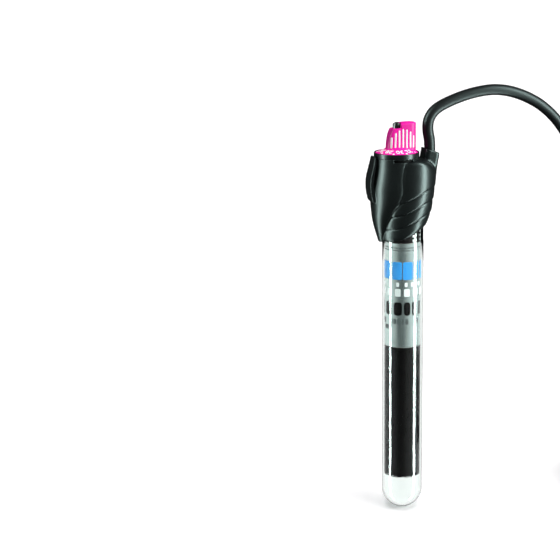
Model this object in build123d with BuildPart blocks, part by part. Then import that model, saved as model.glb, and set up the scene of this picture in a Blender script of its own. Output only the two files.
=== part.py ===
from build123d import *

import os
from math import atan2, cos, pi, radians, sin, tan

os.makedirs("parts", exist_ok=True)

# Submersible aquarium heater, in millimetres. +Z is up along the glass tube, +X points to the cord
# boss. The origin is on the tube's axis, in the middle of the place where a holder's clip grips it.
# Every "height" below is measured from the lowest point of the glass dome.
CLIP_HEIGHT = 60.0  # from the dome's lowest point up to the origin

# Glass tube and what is stacked inside it
GLASS_RADIUS = 12.0
GLASS_WALL = 1.2
NECK_STEP = 0.2  # the mouth is drawn in by this much where the head grips it
ELEMENT_LOW = 21.7  # height of the element sleeve's lower edge
ELEMENT_LENGTH = 81.0
LABEL_LENGTH = 62.0
STOPPER_DEPTH = 30.7  # how far the stopper reaches into the glass
STACK_GAP = 0.3
BORE_RADIUS = GLASS_RADIUS - NECK_STEP - GLASS_WALL + 0.2  # inside of the glass, neck and all
INNER_FIT = 0.2  # between the glass and what slides into it
ELEMENT_WALL = 0.8
LABEL_WALL = 0.2
ELEMENT_TOP = ELEMENT_LOW + ELEMENT_LENGTH
LABEL_LOW = ELEMENT_TOP + STACK_GAP
LABEL_TOP = LABEL_LOW + LABEL_LENGTH
STOPPER_LOW = LABEL_TOP + STACK_GAP
GLASS_TOP = STOPPER_LOW + STOPPER_DEPTH
SLEEVE_RADIUS = BORE_RADIUS - INNER_FIT

# Heating element
SPACER_THICK = 3.0
CORE_RADIUS = 6.5
CORE_BORE = 1.2
WIRE_RADIUS = 0.4
WIRE_GAP = 0.2
WIRE_PITCH = 4.4
LEAD_RADIUS = 0.5
LEAD_OFFSET = 4.6

# Stopper, its seals and the spindle that passes through it
STOPPER_RIM = 3.0
SEAL_RADIUS = 0.9
SEAL_SPACING = 7.0
DIAL_X = -4.1  # the dial's axis stands off the tube's axis
SPINDLE_RADIUS = 2.0
RUNNING_FIT = 0.05
SPINDLE_TIP_RADIUS = 1.2
CORE_WIRE_RADIUS = 0.6

# Head
CHAMBER_HEIGHT = 8.5  # above the glass rim
WEB_THICK = 2.5
WELL_DEPTH = 7.2
WELL_RADIUS = 11.2
HEAD_CLEARANCE = 0.35
SKIRT_RADIUS = 14.0
SKIRT_DROP = 26.8  # from the glass rim down to the middle of the skirt's slanted edge
SKIRT_SLOPE = 0.33
CHAMBER_TOP = GLASS_TOP + CHAMBER_HEIGHT
WELL_FLOOR = CHAMBER_TOP + WEB_THICK
BARREL_TOP = WELL_FLOOR + WELL_DEPTH
# drop below the barrel's top, centre in X, radius
BARREL_SECTIONS = (
    (0.0, DIAL_X, 12.75),
    (11.2, -4.3, 14.0),
    (17.9, -5.0, 14.5),
    (26.2, -6.4, 12.9),
    (34.6, -9.6, 9.0),
    (44.2, -11.3, 5.0),
    (50.0, -11.8, 3.0),
)
BULGE_SECTIONS = (
    (0.6, 4.4, 8.6),
    (2.5, 4.4, 11.8),
    (5.2, 4.0, 13.9),
    (9.2, 3.0, 15.5),
    (15.2, 2.4, 16.1),
    (25.2, 1.7, 15.8),
    (33.9, 0.8, 14.9),
    (40.0, -0.2, 13.9),
    (50.0, 0.0, 13.8),
)
SLOT_HEIGHT = 1.5
SLOT_WIDTH = 11.4
SLOT_DROP = 0.3

# Finger tongue on the side away from the cord
TONGUE_WIDTH = 11.0
TONGUE_THICK = 1.9

# Collar ring round the dial
COLLAR_RADIUS = 13.0
COLLAR_WALL = 0.5
COLLAR_HEIGHT = 2.9
COLLAR_FOOT = 0.7

# Cord boss
BOSS_X = 16.5
BOSS_RISE = 2.8  # from the barrel's top to the middle of the boss's rim
BOSS_LEAN = 9.5  # degrees, outwards
BOSS_RIM_TILT = 20.0
BOSS_ACROSS = 9.0
BOSS_BROAD = 11.0
BOSS_CORNER = 3.6
BOSS_WALL = 0.8
BOSS_DEPTH = 28.0
GLAND_DROP = 8.1  # from the rim's middle down to the gland's top
GLAND_LENGTH = 4.9
GLAND_FIT = 0.1
TAIL_LENGTH = 7.4
PASSAGE_FIT = 0.4
PASSAGE_LENGTH = 6.5
FERRULE_LENGTH = 2.0

# Dial
DIAL_GAP = 0.3
DIAL_LIFT = 0.3  # above the collar's foot
DIAL_EDGE = 1.7
CONE_RISE = 2.8
CONE_TOP_RADIUS = 4.6
HUB_RADIUS = 6.0
HUB_GAP = 0.4
GRIP_THICK = 8.0
GRIP_LOW_X = -2.5  # centres of the grip's two round ends, from the dial's axis
GRIP_HIGH_X = 7.6
GRIP_HEIGHT = 14.2  # from the top of the cone
STEP_HEIGHT = 11.0
STEP_X = 1.4
SLOPE_RUN = 3.4
STRIPE_COUNT = 7
STRIPE_SPACING = 2.4
STRIPE_WIDTH = 1.25
STRIPE_THICK = 0.2
STRIPE_TOP = 10.7
MARK_THICK = 0.2
MARK_RADIUS = 8.8
DOT_MARK_RADIUS = 11.2
DOT_RADIUS = 0.55
NUMERAL_SIZE = 4.0
NUMERAL_STEP = 40.0
FIRST_NUMERAL = 20
NUMERAL_COUNT = 7
FIRST_ANGLE = 62.0
DIAL_LOW_TURN = -152.0
DIAL_HIGH_TURN = 128.0
LUG_HALF = 8.0  # degrees
LUG_REACH = 3.6
STOP_MARGIN = 2.0

# Thermostat, in the tube under the stopper
FRAME_X = 1.5
FRAME_THICK = 2.5
FRAME_WIDTH = 14.0
FRAME_LENGTH = 54.0
SHELF_REACH = 10.5
SHELF_THICK = 3.0
SHELF_WIDTH = 9.0
SCREW_RADIUS = 1.5
SCREW_LENGTH = 16.0
NUT_SIDE = 6.0
NUT_HEIGHT = 5.0
NUT_TRAVEL = 0.4
ARM_THICK = 0.8
ARM_WIDTH = 5.0
ARM_LENGTH = 9.6
ARM_BARREL = 1.6
PIN_RADIUS = 0.8
EAR_THICK = 1.4
CONTACT_RADIUS = 1.3
CONTACT_HEIGHT = 0.8
CONTACT_X = -8.0
CONTACT_GAP = 1.2
STRIP_THICK = 0.6

# Cord, hank and plug
CORD_RADIUS = 3.2
# route of the free cord, in the row's own frame, from the gland to the hank
CORD_ROUTE = (
    (15.17, 0.0, 149.04),
    (16.8, 0.0, 158.9),
    (14.0, 0.0, 171.4),
    (17.5, 0.0, 179.2),
    (26.0, 0.0, 183.8),
    (41.0, 0.0, 188.6),
    (57.5, -0.5, 190.4),
    (74.0, -1.0, 185.9),
    (88.5, -2.0, 177.0),
    (100.5, -3.5, 162.5),
    (108.5, -6.0, 143.5),
    (112.5, -8.0, 118.0),
    (113.5, -10.0, 88.0),
    (112.8, -12.0, 55.0),
    (111.6, -15.0, 24.0),
    (110.6, -18.5, -4.0),
    (111.0, -22.0, -26.0),
    (115.0, -24.5, -43.0),
    (124.0, -26.2, -53.5),
    (137.0, -27.2, -56.8),
)
HANK_X = 173.0
HANK_ARM = 30.5  # from the tie to the middle of each end loop
HANK_LOOP = 29.4
HANK_WAIST = 19.0
HANK_LOW = 12.8
HANK_HIGH = 19.2
TIE_WIDTH = 6.0
TIE_THICK = 1.2
# last stretch of the cord, over the hank to the plug
CORD_END = (
    (152.5, -20.0, -44.2),
    (158.5, -12.5, -43.4),
    (166.0, -5.0, -41.2),
    (175.0, -0.8, -40.0),
    (183.0, 0.0, -40.0),
)
PLUG_LIFT = 0.35  # between the hank's lower end and the plug that lies on it
RELIEF_LENGTH = 22.0
PLUG_LENGTH = 34.0
PLUG_WIDTH = 35.3
PLUG_THICK = 13.7
PLUG_NECK = 13.0
PLUG_STRAIGHT = 12.0
PLUG_PIN_RADIUS = 2.0
PLUG_PIN_LENGTH = 19.0
PLUG_PIN_SPACING = 18.6
PLUG_PIN_ROOT = 6.0
PIN_NECK = 0.4  # the pins are thinner where they are moulded in

FLOOR = -CLIP_HEIGHT
UP = (0, 0, 1)
TUBE_SIDE = Plane(origin=(0, 0, FLOOR), x_dir=(1, 0, 0), z_dir=(0, -1, 0))
DIAL_SIDE = Plane(origin=(DIAL_X, 0, FLOOR), x_dir=(1, 0, 0), z_dir=(0, -1, 0))
TUBE_AXIS = Axis((0, 0, 0), UP)
DIAL_AXIS = Axis((DIAL_X, 0, 0), UP)
LEAN = radians(BOSS_LEAN)
BOSS_DIRECTION = Vector(sin(LEAN), 0, cos(LEAN))
BOSS_RIM = Vector(BOSS_X, 0, FLOOR + BARREL_TOP + BOSS_RISE)
FLANGE_LOW = BARREL_TOP + COLLAR_FOOT + DIAL_LIFT
CONE_LOW = FLANGE_LOW + DIAL_EDGE
CONE_TOP = CONE_LOW + CONE_RISE
DIAL_RADIUS = COLLAR_RADIUS - COLLAR_WALL - DIAL_GAP
SHAFT_HOLE = SPINDLE_RADIUS + RUNNING_FIT
ARM_Z = LABEL_TOP - 34.0  # height of the contact arm's lower face
SCREW_LOW = ARM_Z + 8.5
SCREW_TOP = SCREW_LOW + SCREW_LENGTH


def level(height, x=0.0, y=0.0):
    """A horizontal plane at a height above the dome's lowest point."""
    return Plane(origin=(x, y, FLOOR + height), x_dir=(1, 0, 0), z_dir=UP)


def on_boss(distance):
    """A plane across the boss's axis, at a distance above the middle of its rim."""
    return Plane(origin=BOSS_RIM + BOSS_DIRECTION * distance, x_dir=(cos(LEAN), 0, -sin(LEAN)), z_dir=BOSS_DIRECTION)


def keep(piece, name):
    """Labels a finished piece and writes its file."""
    piece.part.label = name
    export_step(piece.part, f"parts/{name}.step")


def arc_radii(points):
    """The radius of the tangent arc at each inner point of a cord's route."""
    route = [Vector(*point) for point in points]
    radii = []
    for before, here, after in zip(route, route[1:], route[2:]):
        turn = radians((here - before).get_angle(after - here))
        shorter = min((here - before).length, (after - here).length)
        radii.append(0.45 * shorter / tan(turn / 2))
    return radii


def cord_along(points, name):
    """A round cord: straight runs joined by tangent arcs."""
    radii = arc_radii(points)
    start = Vector(*points[0])
    with BuildPart() as cord:
        with BuildLine() as path:
            FilletPolyline(*points, radius=radii)
        with BuildSketch(Plane(origin=start, z_dir=Vector(*points[1]) - start)):
            Circle(CORD_RADIUS)
        sweep(path=path.line)
    length = sum(edge.length for edge in path.edges())
    section = pi * CORD_RADIUS**2
    print(name, "radii", [round(r, 1) for r in radii])
    print(name, "length", round(length, 1), "volume ratio", round(cord.part.volume / (section * length), 4))
    keep(cord, name)


# ---------------------------------------------------------------- glass and what it holds


def glass_tube():
    """The tube, with a half-round closed end and a mouth that is drawn in a little."""
    inside = GLASS_RADIUS - GLASS_WALL
    neck_height = GLASS_TOP - SKIRT_DROP - SKIRT_RADIUS * SKIRT_SLOPE - 1.4
    neck = GLASS_RADIUS - NECK_STEP
    with BuildPart() as tube:
        with BuildSketch(TUBE_SIDE):
            with BuildLine():
                outer = Line((neck, GLASS_TOP), (neck, neck_height + NECK_STEP))
                shoulder = Line(outer @ 1, (GLASS_RADIUS, neck_height))
                side = Line(shoulder @ 1, (GLASS_RADIUS, GLASS_RADIUS))
                ThreePointArc(
                    side @ 1,
                    (GLASS_RADIUS * sin(pi / 4), GLASS_RADIUS * (1 - cos(pi / 4))),
                    (0, 0),
                )
                Line((0, 0), (0, GLASS_WALL))
                ThreePointArc(
                    (0, GLASS_WALL),
                    (inside * sin(pi / 4), GLASS_RADIUS - inside * cos(pi / 4)),
                    (inside, GLASS_RADIUS),
                )
                bore = Line((inside, GLASS_RADIUS), (inside, GLASS_TOP))
                Line(bore @ 1, (neck, GLASS_TOP))
            make_face()
        revolve(axis=TUBE_AXIS)
    keep(tube, "glass_tube")


def ring_piece(name, outside, inside, low, high, x=0.0):
    """A plain round sleeve, ring or disc with a central hole."""
    with BuildPart() as ring:
        with BuildSketch(level(low, x)):
            Circle(outside)
            if inside > 0:
                Circle(inside, mode=Mode.SUBTRACT)
        extrude(amount=high - low)
    keep(ring, name)


def spacer(name, low):
    """A ceramic disc inside the element sleeve, with holes for the two leads."""
    with BuildPart() as disc:
        with BuildSketch(level(low)):
            Circle(SLEEVE_RADIUS - ELEMENT_WALL - 0.1)
            Circle(LEAD_RADIUS + 0.1, mode=Mode.SUBTRACT)
            with Locations((CORE_RADIUS + 1.9, 0)):
                Circle(LEAD_RADIUS + 0.1, mode=Mode.SUBTRACT)
        extrude(amount=SPACER_THICK)
        chamfer(disc.faces().sort_by(Axis.Z)[0].outer_wire().edges(), 0.4)
    keep(disc, name)


def element_core():
    """The grooved ceramic former that carries the resistance wire."""
    low = ELEMENT_LOW + 1.0 + SPACER_THICK
    high = ELEMENT_TOP - STACK_GAP - SPACER_THICK
    collar = 2.0
    with BuildPart() as core:
        with BuildSketch(level(low)):
            Circle(CORE_RADIUS)
            Circle(CORE_BORE, mode=Mode.SUBTRACT)
        extrude(amount=high - low)
        for start in (low, high - collar):
            with BuildSketch(level(start)):
                Circle(CORE_RADIUS + 1.2)
                Circle(CORE_RADIUS, mode=Mode.SUBTRACT)
            extrude(amount=collar)
    keep(core, "element_core")


def heating_winding():
    """The resistance wire, wound round the ceramic former."""
    low = ELEMENT_LOW + 1.0 + SPACER_THICK + 4.0
    high = ELEMENT_TOP - STACK_GAP - SPACER_THICK - 4.0
    radius = CORE_RADIUS + WIRE_GAP + WIRE_RADIUS
    with BuildPart() as winding:
        with BuildLine(level(low)) as path:
            Helix(pitch=WIRE_PITCH, height=high - low, radius=radius)
        with BuildSketch(Plane(origin=path.line @ 0, z_dir=path.line % 0)):
            Circle(WIRE_RADIUS)
        sweep(path=path.line, is_frenet=True)
    keep(winding, "heating_winding")


def lead_wires():
    """Two leads: one down the middle of the former, one to its upper end."""
    low = ELEMENT_LOW + 1.0
    shelf = LABEL_LOW + 7.0
    with BuildPart() as leads:
        with BuildSketch(level(low)):
            Circle(LEAD_RADIUS)
        extrude(amount=shelf - low)
        start = ELEMENT_TOP - STACK_GAP - SPACER_THICK + 0.2
        with BuildSketch(level(start, CORE_RADIUS + 1.9)):
            Circle(LEAD_RADIUS)
        extrude(amount=shelf + 6.0 - start)
    keep(leads, "lead_wires")


def stopper():
    """The plug in the mouth of the tube, with grooves for two seal rings and ways for spindle and wires."""
    groove = SEAL_RADIUS * 2 + 0.1
    outside = SLEEVE_RADIUS
    with BuildPart() as plug:
        with BuildSketch(level(STOPPER_LOW)):
            Circle(outside)
        extrude(amount=STOPPER_DEPTH)
        with BuildSketch(level(GLASS_TOP)):
            Circle(GLASS_RADIUS - 0.1)
        extrude(amount=STOPPER_RIM)
        for height in seal_heights():
            with BuildSketch(level(height - groove / 2)):
                Circle(outside + 1)
                Circle(outside - groove, mode=Mode.SUBTRACT)
            extrude(amount=groove, mode=Mode.SUBTRACT)
        with BuildSketch(level(STOPPER_LOW, DIAL_X)):
            Circle(SHAFT_HOLE)
        extrude(amount=STOPPER_DEPTH + STOPPER_RIM, mode=Mode.SUBTRACT)
        with BuildSketch(level(GLASS_TOP + STOPPER_RIM - 2.4, DIAL_X)):
            Circle(SPINDLE_RADIUS + 2.1)
        extrude(amount=2.4, mode=Mode.SUBTRACT)
        with BuildSketch(level(STOPPER_LOW)):
            with Locations((6.0, 2.2), (6.0, -2.2)):
                Circle(CORE_WIRE_RADIUS + 0.15)
        extrude(amount=STOPPER_DEPTH + STOPPER_RIM, mode=Mode.SUBTRACT)
    keep(plug, "tube_stopper")


def seal_heights():
    """Heights of the two seal rings in the stopper."""
    upper = GLASS_TOP - 6.0
    return (upper, upper - SEAL_SPACING)


def seal_rings():
    """Two rings that seal the stopper in the glass, and one round the spindle."""
    centre = SLEEVE_RADIUS + INNER_FIT - SEAL_RADIUS - 0.05
    with BuildPart() as rings:
        for height in seal_heights():
            with BuildSketch(TUBE_SIDE):
                with Locations((centre, height)):
                    Circle(SEAL_RADIUS)
            revolve(axis=TUBE_AXIS)
    keep(rings, "tube_seal_rings")
    small = 0.9
    with BuildPart() as ring:
        with BuildSketch(DIAL_SIDE):
            with Locations((SHAFT_HOLE + small, GLASS_TOP + STOPPER_RIM - 1.4)):
                Circle(small)
        revolve(axis=DIAL_AXIS)
    keep(ring, "spindle_seal_ring")


def level_marks():
    """White bars printed on the stopper, seen through the glass: the least depth of water."""
    inner = SLEEVE_RADIUS + 0.02
    outer = inner + 0.12
    with BuildPart() as marks:
        for row in range(4):
            for from_angle, arc in ((-80.0, 9.0), (-50.0, 24.0)):
                start = radians(from_angle)
                side = Plane(
                    origin=(0, 0, FLOOR + STOPPER_LOW + 0.7 + 2.45 * row),
                    x_dir=(cos(start), sin(start), 0),
                    z_dir=(sin(start), -cos(start), 0),
                )
                with BuildSketch(side):
                    with Locations(((inner + outer) / 2, 0.6)):
                        Rectangle(outer - inner, 1.2)
                revolve(axis=TUBE_AXIS, revolution_arc=arc)
    keep(marks, "level_marks")


# ---------------------------------------------------------------- thermostat


def thermostat_frame():
    """A moulded plate hung from the stopper, with two shelves and the ears of the arm's pin."""
    top = STOPPER_LOW - 0.3
    low = top - FRAME_LENGTH
    ear_inside = ARM_WIDTH / 2 + 0.6
    pin_z = ARM_Z + ARM_THICK / 2
    with BuildPart() as frame:
        with BuildSketch(level(low, FRAME_X + FRAME_THICK / 2)):
            Rectangle(FRAME_THICK, FRAME_WIDTH)
        extrude(amount=FRAME_LENGTH)
        for height in (low, SCREW_TOP + 2.0):
            with BuildSketch(level(height, FRAME_X - SHELF_REACH / 2)):
                Rectangle(SHELF_REACH, SHELF_WIDTH)
            extrude(amount=SHELF_THICK)
        with BuildSketch(level(SCREW_TOP + 1.0, DIAL_X)):
            Circle(SHAFT_HOLE)
        extrude(amount=SHELF_THICK + 2.0, mode=Mode.SUBTRACT)
        for side in (-1, 1):
            with BuildSketch(level(pin_z - 2.2, FRAME_X - 1.9, side * (ear_inside + EAR_THICK / 2))):
                Rectangle(3.8, EAR_THICK)
            extrude(amount=4.4)
        with BuildSketch(Plane(origin=(FRAME_X - 1.9, 0, FLOOR + pin_z), x_dir=(1, 0, 0), z_dir=(0, 1, 0))):
            Circle(PIN_RADIUS)
        extrude(amount=FRAME_WIDTH, both=True, mode=Mode.SUBTRACT)
        # slot that keeps the nut from turning
        with BuildSketch(level(SCREW_LOW - 2.0, FRAME_X + FRAME_THICK / 2)):
            Rectangle(FRAME_THICK + 1, 2.8)
        extrude(amount=SCREW_LENGTH, mode=Mode.SUBTRACT)
    keep(frame, "thermostat_frame")
    with BuildPart() as pin:
        origin = (FRAME_X - 1.9, -ear_inside - EAR_THICK, FLOOR + pin_z)
        with BuildSketch(Plane(origin=origin, x_dir=(1, 0, 0), z_dir=(0, 1, 0))):
            Circle(PIN_RADIUS)
        extrude(amount=2 * (ear_inside + EAR_THICK))
    keep(pin, "arm_pin")


def contact_arm():
    """The springy arm that the nut tilts, with a barrel on the pin."""
    pivot_x = FRAME_X - 1.9
    pin_z = ARM_Z + ARM_THICK / 2
    with BuildPart() as arm:
        with BuildSketch(level(ARM_Z, pivot_x - ARM_LENGTH / 2)):
            Rectangle(ARM_LENGTH, ARM_WIDTH)
        extrude(amount=ARM_THICK)
        with BuildSketch(
            Plane(origin=(pivot_x, -ARM_WIDTH / 2, FLOOR + pin_z), x_dir=(1, 0, 0), z_dir=(0, 1, 0))
        ):
            Circle(ARM_BARREL)
        extrude(amount=ARM_WIDTH)
        with BuildSketch(
            Plane(origin=(pivot_x, -ARM_WIDTH, FLOOR + pin_z), x_dir=(1, 0, 0), z_dir=(0, 1, 0))
        ):
            Circle(PIN_RADIUS + RUNNING_FIT)
        extrude(amount=2 * ARM_WIDTH, mode=Mode.SUBTRACT)
    keep(arm, "contact_arm")


def contact_button(name, high):
    """A silver contact, given by the height of its upper face."""
    ring_piece(name, CONTACT_RADIUS, 0, high - CONTACT_HEIGHT, high, CONTACT_X)


def bimetal_strip():
    """The strip that bends with heat and carries the other contact."""
    top = ARM_Z - CONTACT_HEIGHT - CONTACT_GAP - CONTACT_HEIGHT
    with BuildPart() as strip:
        with BuildSketch(level(top - STRIP_THICK, (FRAME_X - 9.6) / 2)):
            Rectangle(FRAME_X + 9.6, ARM_WIDTH)
        extrude(amount=STRIP_THICK)
    keep(strip, "bimetal_strip")


def adjusting_nut():
    """The nut on the spindle's thread: it can't turn, so it slides and presses on the arm."""
    low = SCREW_LOW + SCREW_LENGTH / 2 - NUT_HEIGHT / 2
    nose = ARM_Z + ARM_THICK + NUT_TRAVEL + 0.35
    with BuildPart() as nut:
        with BuildSketch(level(low, DIAL_X)):
            Rectangle(NUT_SIDE, NUT_SIDE)
            Circle(SCREW_RADIUS + RUNNING_FIT, mode=Mode.SUBTRACT)
        extrude(amount=NUT_HEIGHT)
        tongue = FRAME_X + FRAME_THICK - DIAL_X - NUT_SIDE / 2
        with BuildSketch(level(low, DIAL_X + NUT_SIDE / 2 + tongue / 2)):
            Rectangle(tongue, 2.0)
        extrude(amount=NUT_HEIGHT)
        # the leg that reaches down past the end of the screw
        with BuildSketch(level(nose, DIAL_X - NUT_SIDE / 2 + 0.6)):
            Rectangle(1.2, 3.0)
        extrude(amount=low - nose)
        with BuildSketch(level(nose, DIAL_X - NUT_SIDE / 2 + 1.5)):
            Rectangle(3.0, 3.0)
        extrude(amount=1.2)
    keep(nut, "adjusting_nut")


def small_parts():
    """Pilot lamp, its resistor and the thermal fuse, beside the frame."""
    x = FRAME_X + FRAME_THICK + 2.6
    lamp_low = STOPPER_LOW - 26.0
    with BuildPart() as lamp:
        with BuildSketch(level(lamp_low, x)):
            Circle(2.0)
        extrude(amount=9.0)
        fillet(lamp.faces().sort_by(Axis.Z)[-1].edges(), 1.6)
    keep(lamp, "pilot_lamp")
    ring_piece("lamp_resistor", 1.2, 0, lamp_low - 9.0, lamp_low - 2.5, x)
    ring_piece("thermal_fuse", 1.6, 0, lamp_low - 21.0, lamp_low - 12.0, x)
    with BuildPart() as tabs:
        for side in (-1, 1):
            with BuildSketch(level(STOPPER_LOW - 9.0, FRAME_X + FRAME_THICK + 0.45, side * 3.2)):
                Rectangle(0.8, 2.6)
            extrude(amount=6.0)
    keep(tabs, "terminal_tabs")


def cord_cores():
    """The two wires of the cord, from the jacket's end through the stopper to the thermostat."""
    end = BOSS_RIM + BOSS_DIRECTION * (-GLAND_DROP - TAIL_LENGTH)
    turn_z = FLOOR + GLASS_TOP + STOPPER_RIM + 1.0
    with BuildPart() as cores:
        for side in (-1, 1):
            points = (
                (end.X, side * 1.4, end.Z - 0.3),
                (end.X, side * 1.4, turn_z),
                (6.0, side * 2.2, turn_z),
                (6.0, side * 2.2, FLOOR + STOPPER_LOW - 6.0),
            )
            with BuildLine() as path:
                FilletPolyline(*points, radius=0.65)
            with BuildSketch(Plane(origin=points[0], z_dir=(0, 0, -1))):
                Circle(CORE_WIRE_RADIUS)
            sweep(path=path.line)
    keep(cores, "cord_cores")


# ---------------------------------------------------------------- head


def tongue():
    """The finger tongue: its root is in the barrel, its free end points up."""
    drop_root = 24.0
    tip_height = BARREL_TOP + 0.4
    with BuildPart() as leaf:
        with BuildSketch(TUBE_SIDE):
            with BuildLine():
                inner = Spline(
                    (-19.1, tip_height - 17.4),
                    (-19.2, tip_height - 13.4),
                    (-18.3, tip_height - 7.0),
                    (-17.6, tip_height + 0.6),
                )
                tip = Line(inner @ 1, (-18.7, tip_height + 1.0))
                outer = Spline(
                    tip @ 1,
                    (-20.0, tip_height - 7.0),
                    (-21.2, tip_height - 13.6),
                    (-20.6, tip_height - 20.5),
                    (-18.6, tip_height - drop_root),
                )
                Polyline(
                    outer @ 1,
                    (-15.0, tip_height - drop_root),
                    (-15.0, tip_height - 17.4),
                    inner @ 0,
                )
            make_face()
        extrude(amount=TONGUE_WIDTH / 2, both=True)
    return leaf.part


def head_cover():
    """The moulded cover: barrel, bulge, skirt, boss and tongue, hollow inside."""
    leaf = tongue()
    # the stop that the dial's lug meets at both ends of its turn
    stop_middle = (DIAL_LOW_TURN + DIAL_HIGH_TURN) / 2 + 180.0
    stop_half = (360.0 - DIAL_HIGH_TURN + DIAL_LOW_TURN) / 2 - LUG_HALF - STOP_MARGIN
    stop = sector(WELL_FLOOR, WELL_DEPTH - 0.6, HUB_RADIUS + 1.0, WELL_RADIUS + 0.6, stop_middle, stop_half)
    with BuildPart() as head:
        for drop, centre, radius in BARREL_SECTIONS:
            with BuildSketch(level(BARREL_TOP - drop, centre)):
                Circle(radius)
        loft()
        for drop, centre, radius in BULGE_SECTIONS:
            with BuildSketch(level(BARREL_TOP - drop, centre)):
                Circle(radius)
        loft()
        with BuildSketch(level(BARREL_TOP - 52.0)):
            Circle(SKIRT_RADIUS)
        extrude(amount=32.0)
        with BuildSketch(on_boss(-BOSS_DEPTH)):
            RectangleRounded(BOSS_ACROSS, BOSS_BROAD, BOSS_CORNER)
        extrude(amount=BOSS_DEPTH + 6.0)
        add(leaf)
        # the rim of the boss is cut on a slant
        tilt = radians(BOSS_RIM_TILT)
        with BuildSketch(Plane(origin=BOSS_RIM, x_dir=(0, 1, 0), z_dir=(sin(tilt), 0, cos(tilt)))):
            Rectangle(30, 22)
        extrude(amount=10.0, mode=Mode.SUBTRACT)
        # the lower edge of the skirt is cut on a slant
        slope = atan2(SKIRT_SLOPE, 1)
        edge = Vector(0, 0, FLOOR + GLASS_TOP - SKIRT_DROP)
        with BuildSketch(Plane(origin=edge, x_dir=(0, 1, 0), z_dir=(sin(slope), 0, -cos(slope)))):
            Rectangle(60, 90)
        extrude(amount=60.0, mode=Mode.SUBTRACT)
        # hollows: tube bore and wiring chamber, dial well, cord passage
        with BuildSketch(level(0)):
            Circle(GLASS_RADIUS + HEAD_CLEARANCE)
        extrude(amount=CHAMBER_TOP, mode=Mode.SUBTRACT)
        with BuildSketch(level(WELL_FLOOR, DIAL_X)):
            Circle(WELL_RADIUS)
        extrude(amount=20.0, mode=Mode.SUBTRACT)
        with BuildSketch(level(CHAMBER_TOP - 1, DIAL_X)):
            Circle(SHAFT_HOLE)
        extrude(amount=WEB_THICK + 2, mode=Mode.SUBTRACT)
        inside = 2 * BOSS_WALL
        with BuildSketch(on_boss(-GLAND_DROP - GLAND_LENGTH - GLAND_FIT)):
            RectangleRounded(BOSS_ACROSS - inside, BOSS_BROAD - inside, BOSS_CORNER - BOSS_WALL)
        extrude(amount=30.0, mode=Mode.SUBTRACT)
        with BuildSketch(on_boss(-GLAND_DROP - GLAND_LENGTH - PASSAGE_LENGTH)):
            Circle(CORD_RADIUS + PASSAGE_FIT)
        extrude(amount=PASSAGE_LENGTH, mode=Mode.SUBTRACT)
        # window under the collar, at the front
        with BuildSketch(level(BARREL_TOP - SLOT_DROP - SLOT_HEIGHT, DIAL_X, -WELL_RADIUS - 1.0)):
            Rectangle(SLOT_WIDTH, 6.0)
        extrude(amount=SLOT_HEIGHT, mode=Mode.SUBTRACT)
        add(stop)
    keep(head, "head_cover")


def sector(low, height, inside, outside, middle, half):
    """A part of a ring round the dial's axis, by its middle direction and half angle in degrees."""
    start = radians(middle - half)
    side = Plane(
        origin=(DIAL_X, 0, FLOOR + low),
        x_dir=(cos(start), sin(start), 0),
        z_dir=(sin(start), -cos(start), 0),
    )
    with BuildPart() as piece:
        with BuildSketch(side):
            with Locations(((inside + outside) / 2, height / 2)):
                Rectangle(outside - inside, height)
        revolve(axis=DIAL_AXIS, revolution_arc=2 * half)
    return piece.part


def collar_ring():
    """The ring that borders the dial and holds it down into the head."""
    wall = COLLAR_RADIUS - COLLAR_WALL
    top = BARREL_TOP + COLLAR_HEIGHT
    with BuildPart() as collar:
        with BuildSketch(DIAL_SIDE):
            Polygon(
                (WELL_RADIUS + 0.1, BARREL_TOP),
                (COLLAR_RADIUS, BARREL_TOP),
                (COLLAR_RADIUS, top),
                (wall, top),
                (wall, BARREL_TOP + COLLAR_FOOT),
                (WELL_RADIUS + 0.1, BARREL_TOP + COLLAR_FOOT),
                align=None,
            )
        revolve(axis=DIAL_AXIS)
    keep(collar, "collar_ring")


def cord_entry():
    """The rubber gland in the boss, the jacket's end below it and the crimped ferrule round that."""
    inside = BOSS_WALL + GLAND_FIT
    with BuildPart() as gland:
        with BuildSketch(on_boss(-GLAND_DROP - GLAND_LENGTH)):
            RectangleRounded(BOSS_ACROSS - 2 * inside, BOSS_BROAD - 2 * inside, BOSS_CORNER - inside)
            Circle(CORD_RADIUS, mode=Mode.SUBTRACT)
        extrude(amount=GLAND_LENGTH)
    keep(gland, "cord_gland")
    with BuildPart() as tail:
        with BuildSketch(on_boss(-GLAND_DROP - TAIL_LENGTH)):
            Circle(CORD_RADIUS)
        extrude(amount=TAIL_LENGTH)
    keep(tail, "cord_tail")
    with BuildPart() as ferrule:
        with BuildSketch(on_boss(-GLAND_DROP - TAIL_LENGTH + 0.2)):
            Circle(CORD_RADIUS + 0.3)
            Circle(CORD_RADIUS + 0.05, mode=Mode.SUBTRACT)
        extrude(amount=FERRULE_LENGTH)
    keep(ferrule, "cord_ferrule")


# ---------------------------------------------------------------- dial


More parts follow.
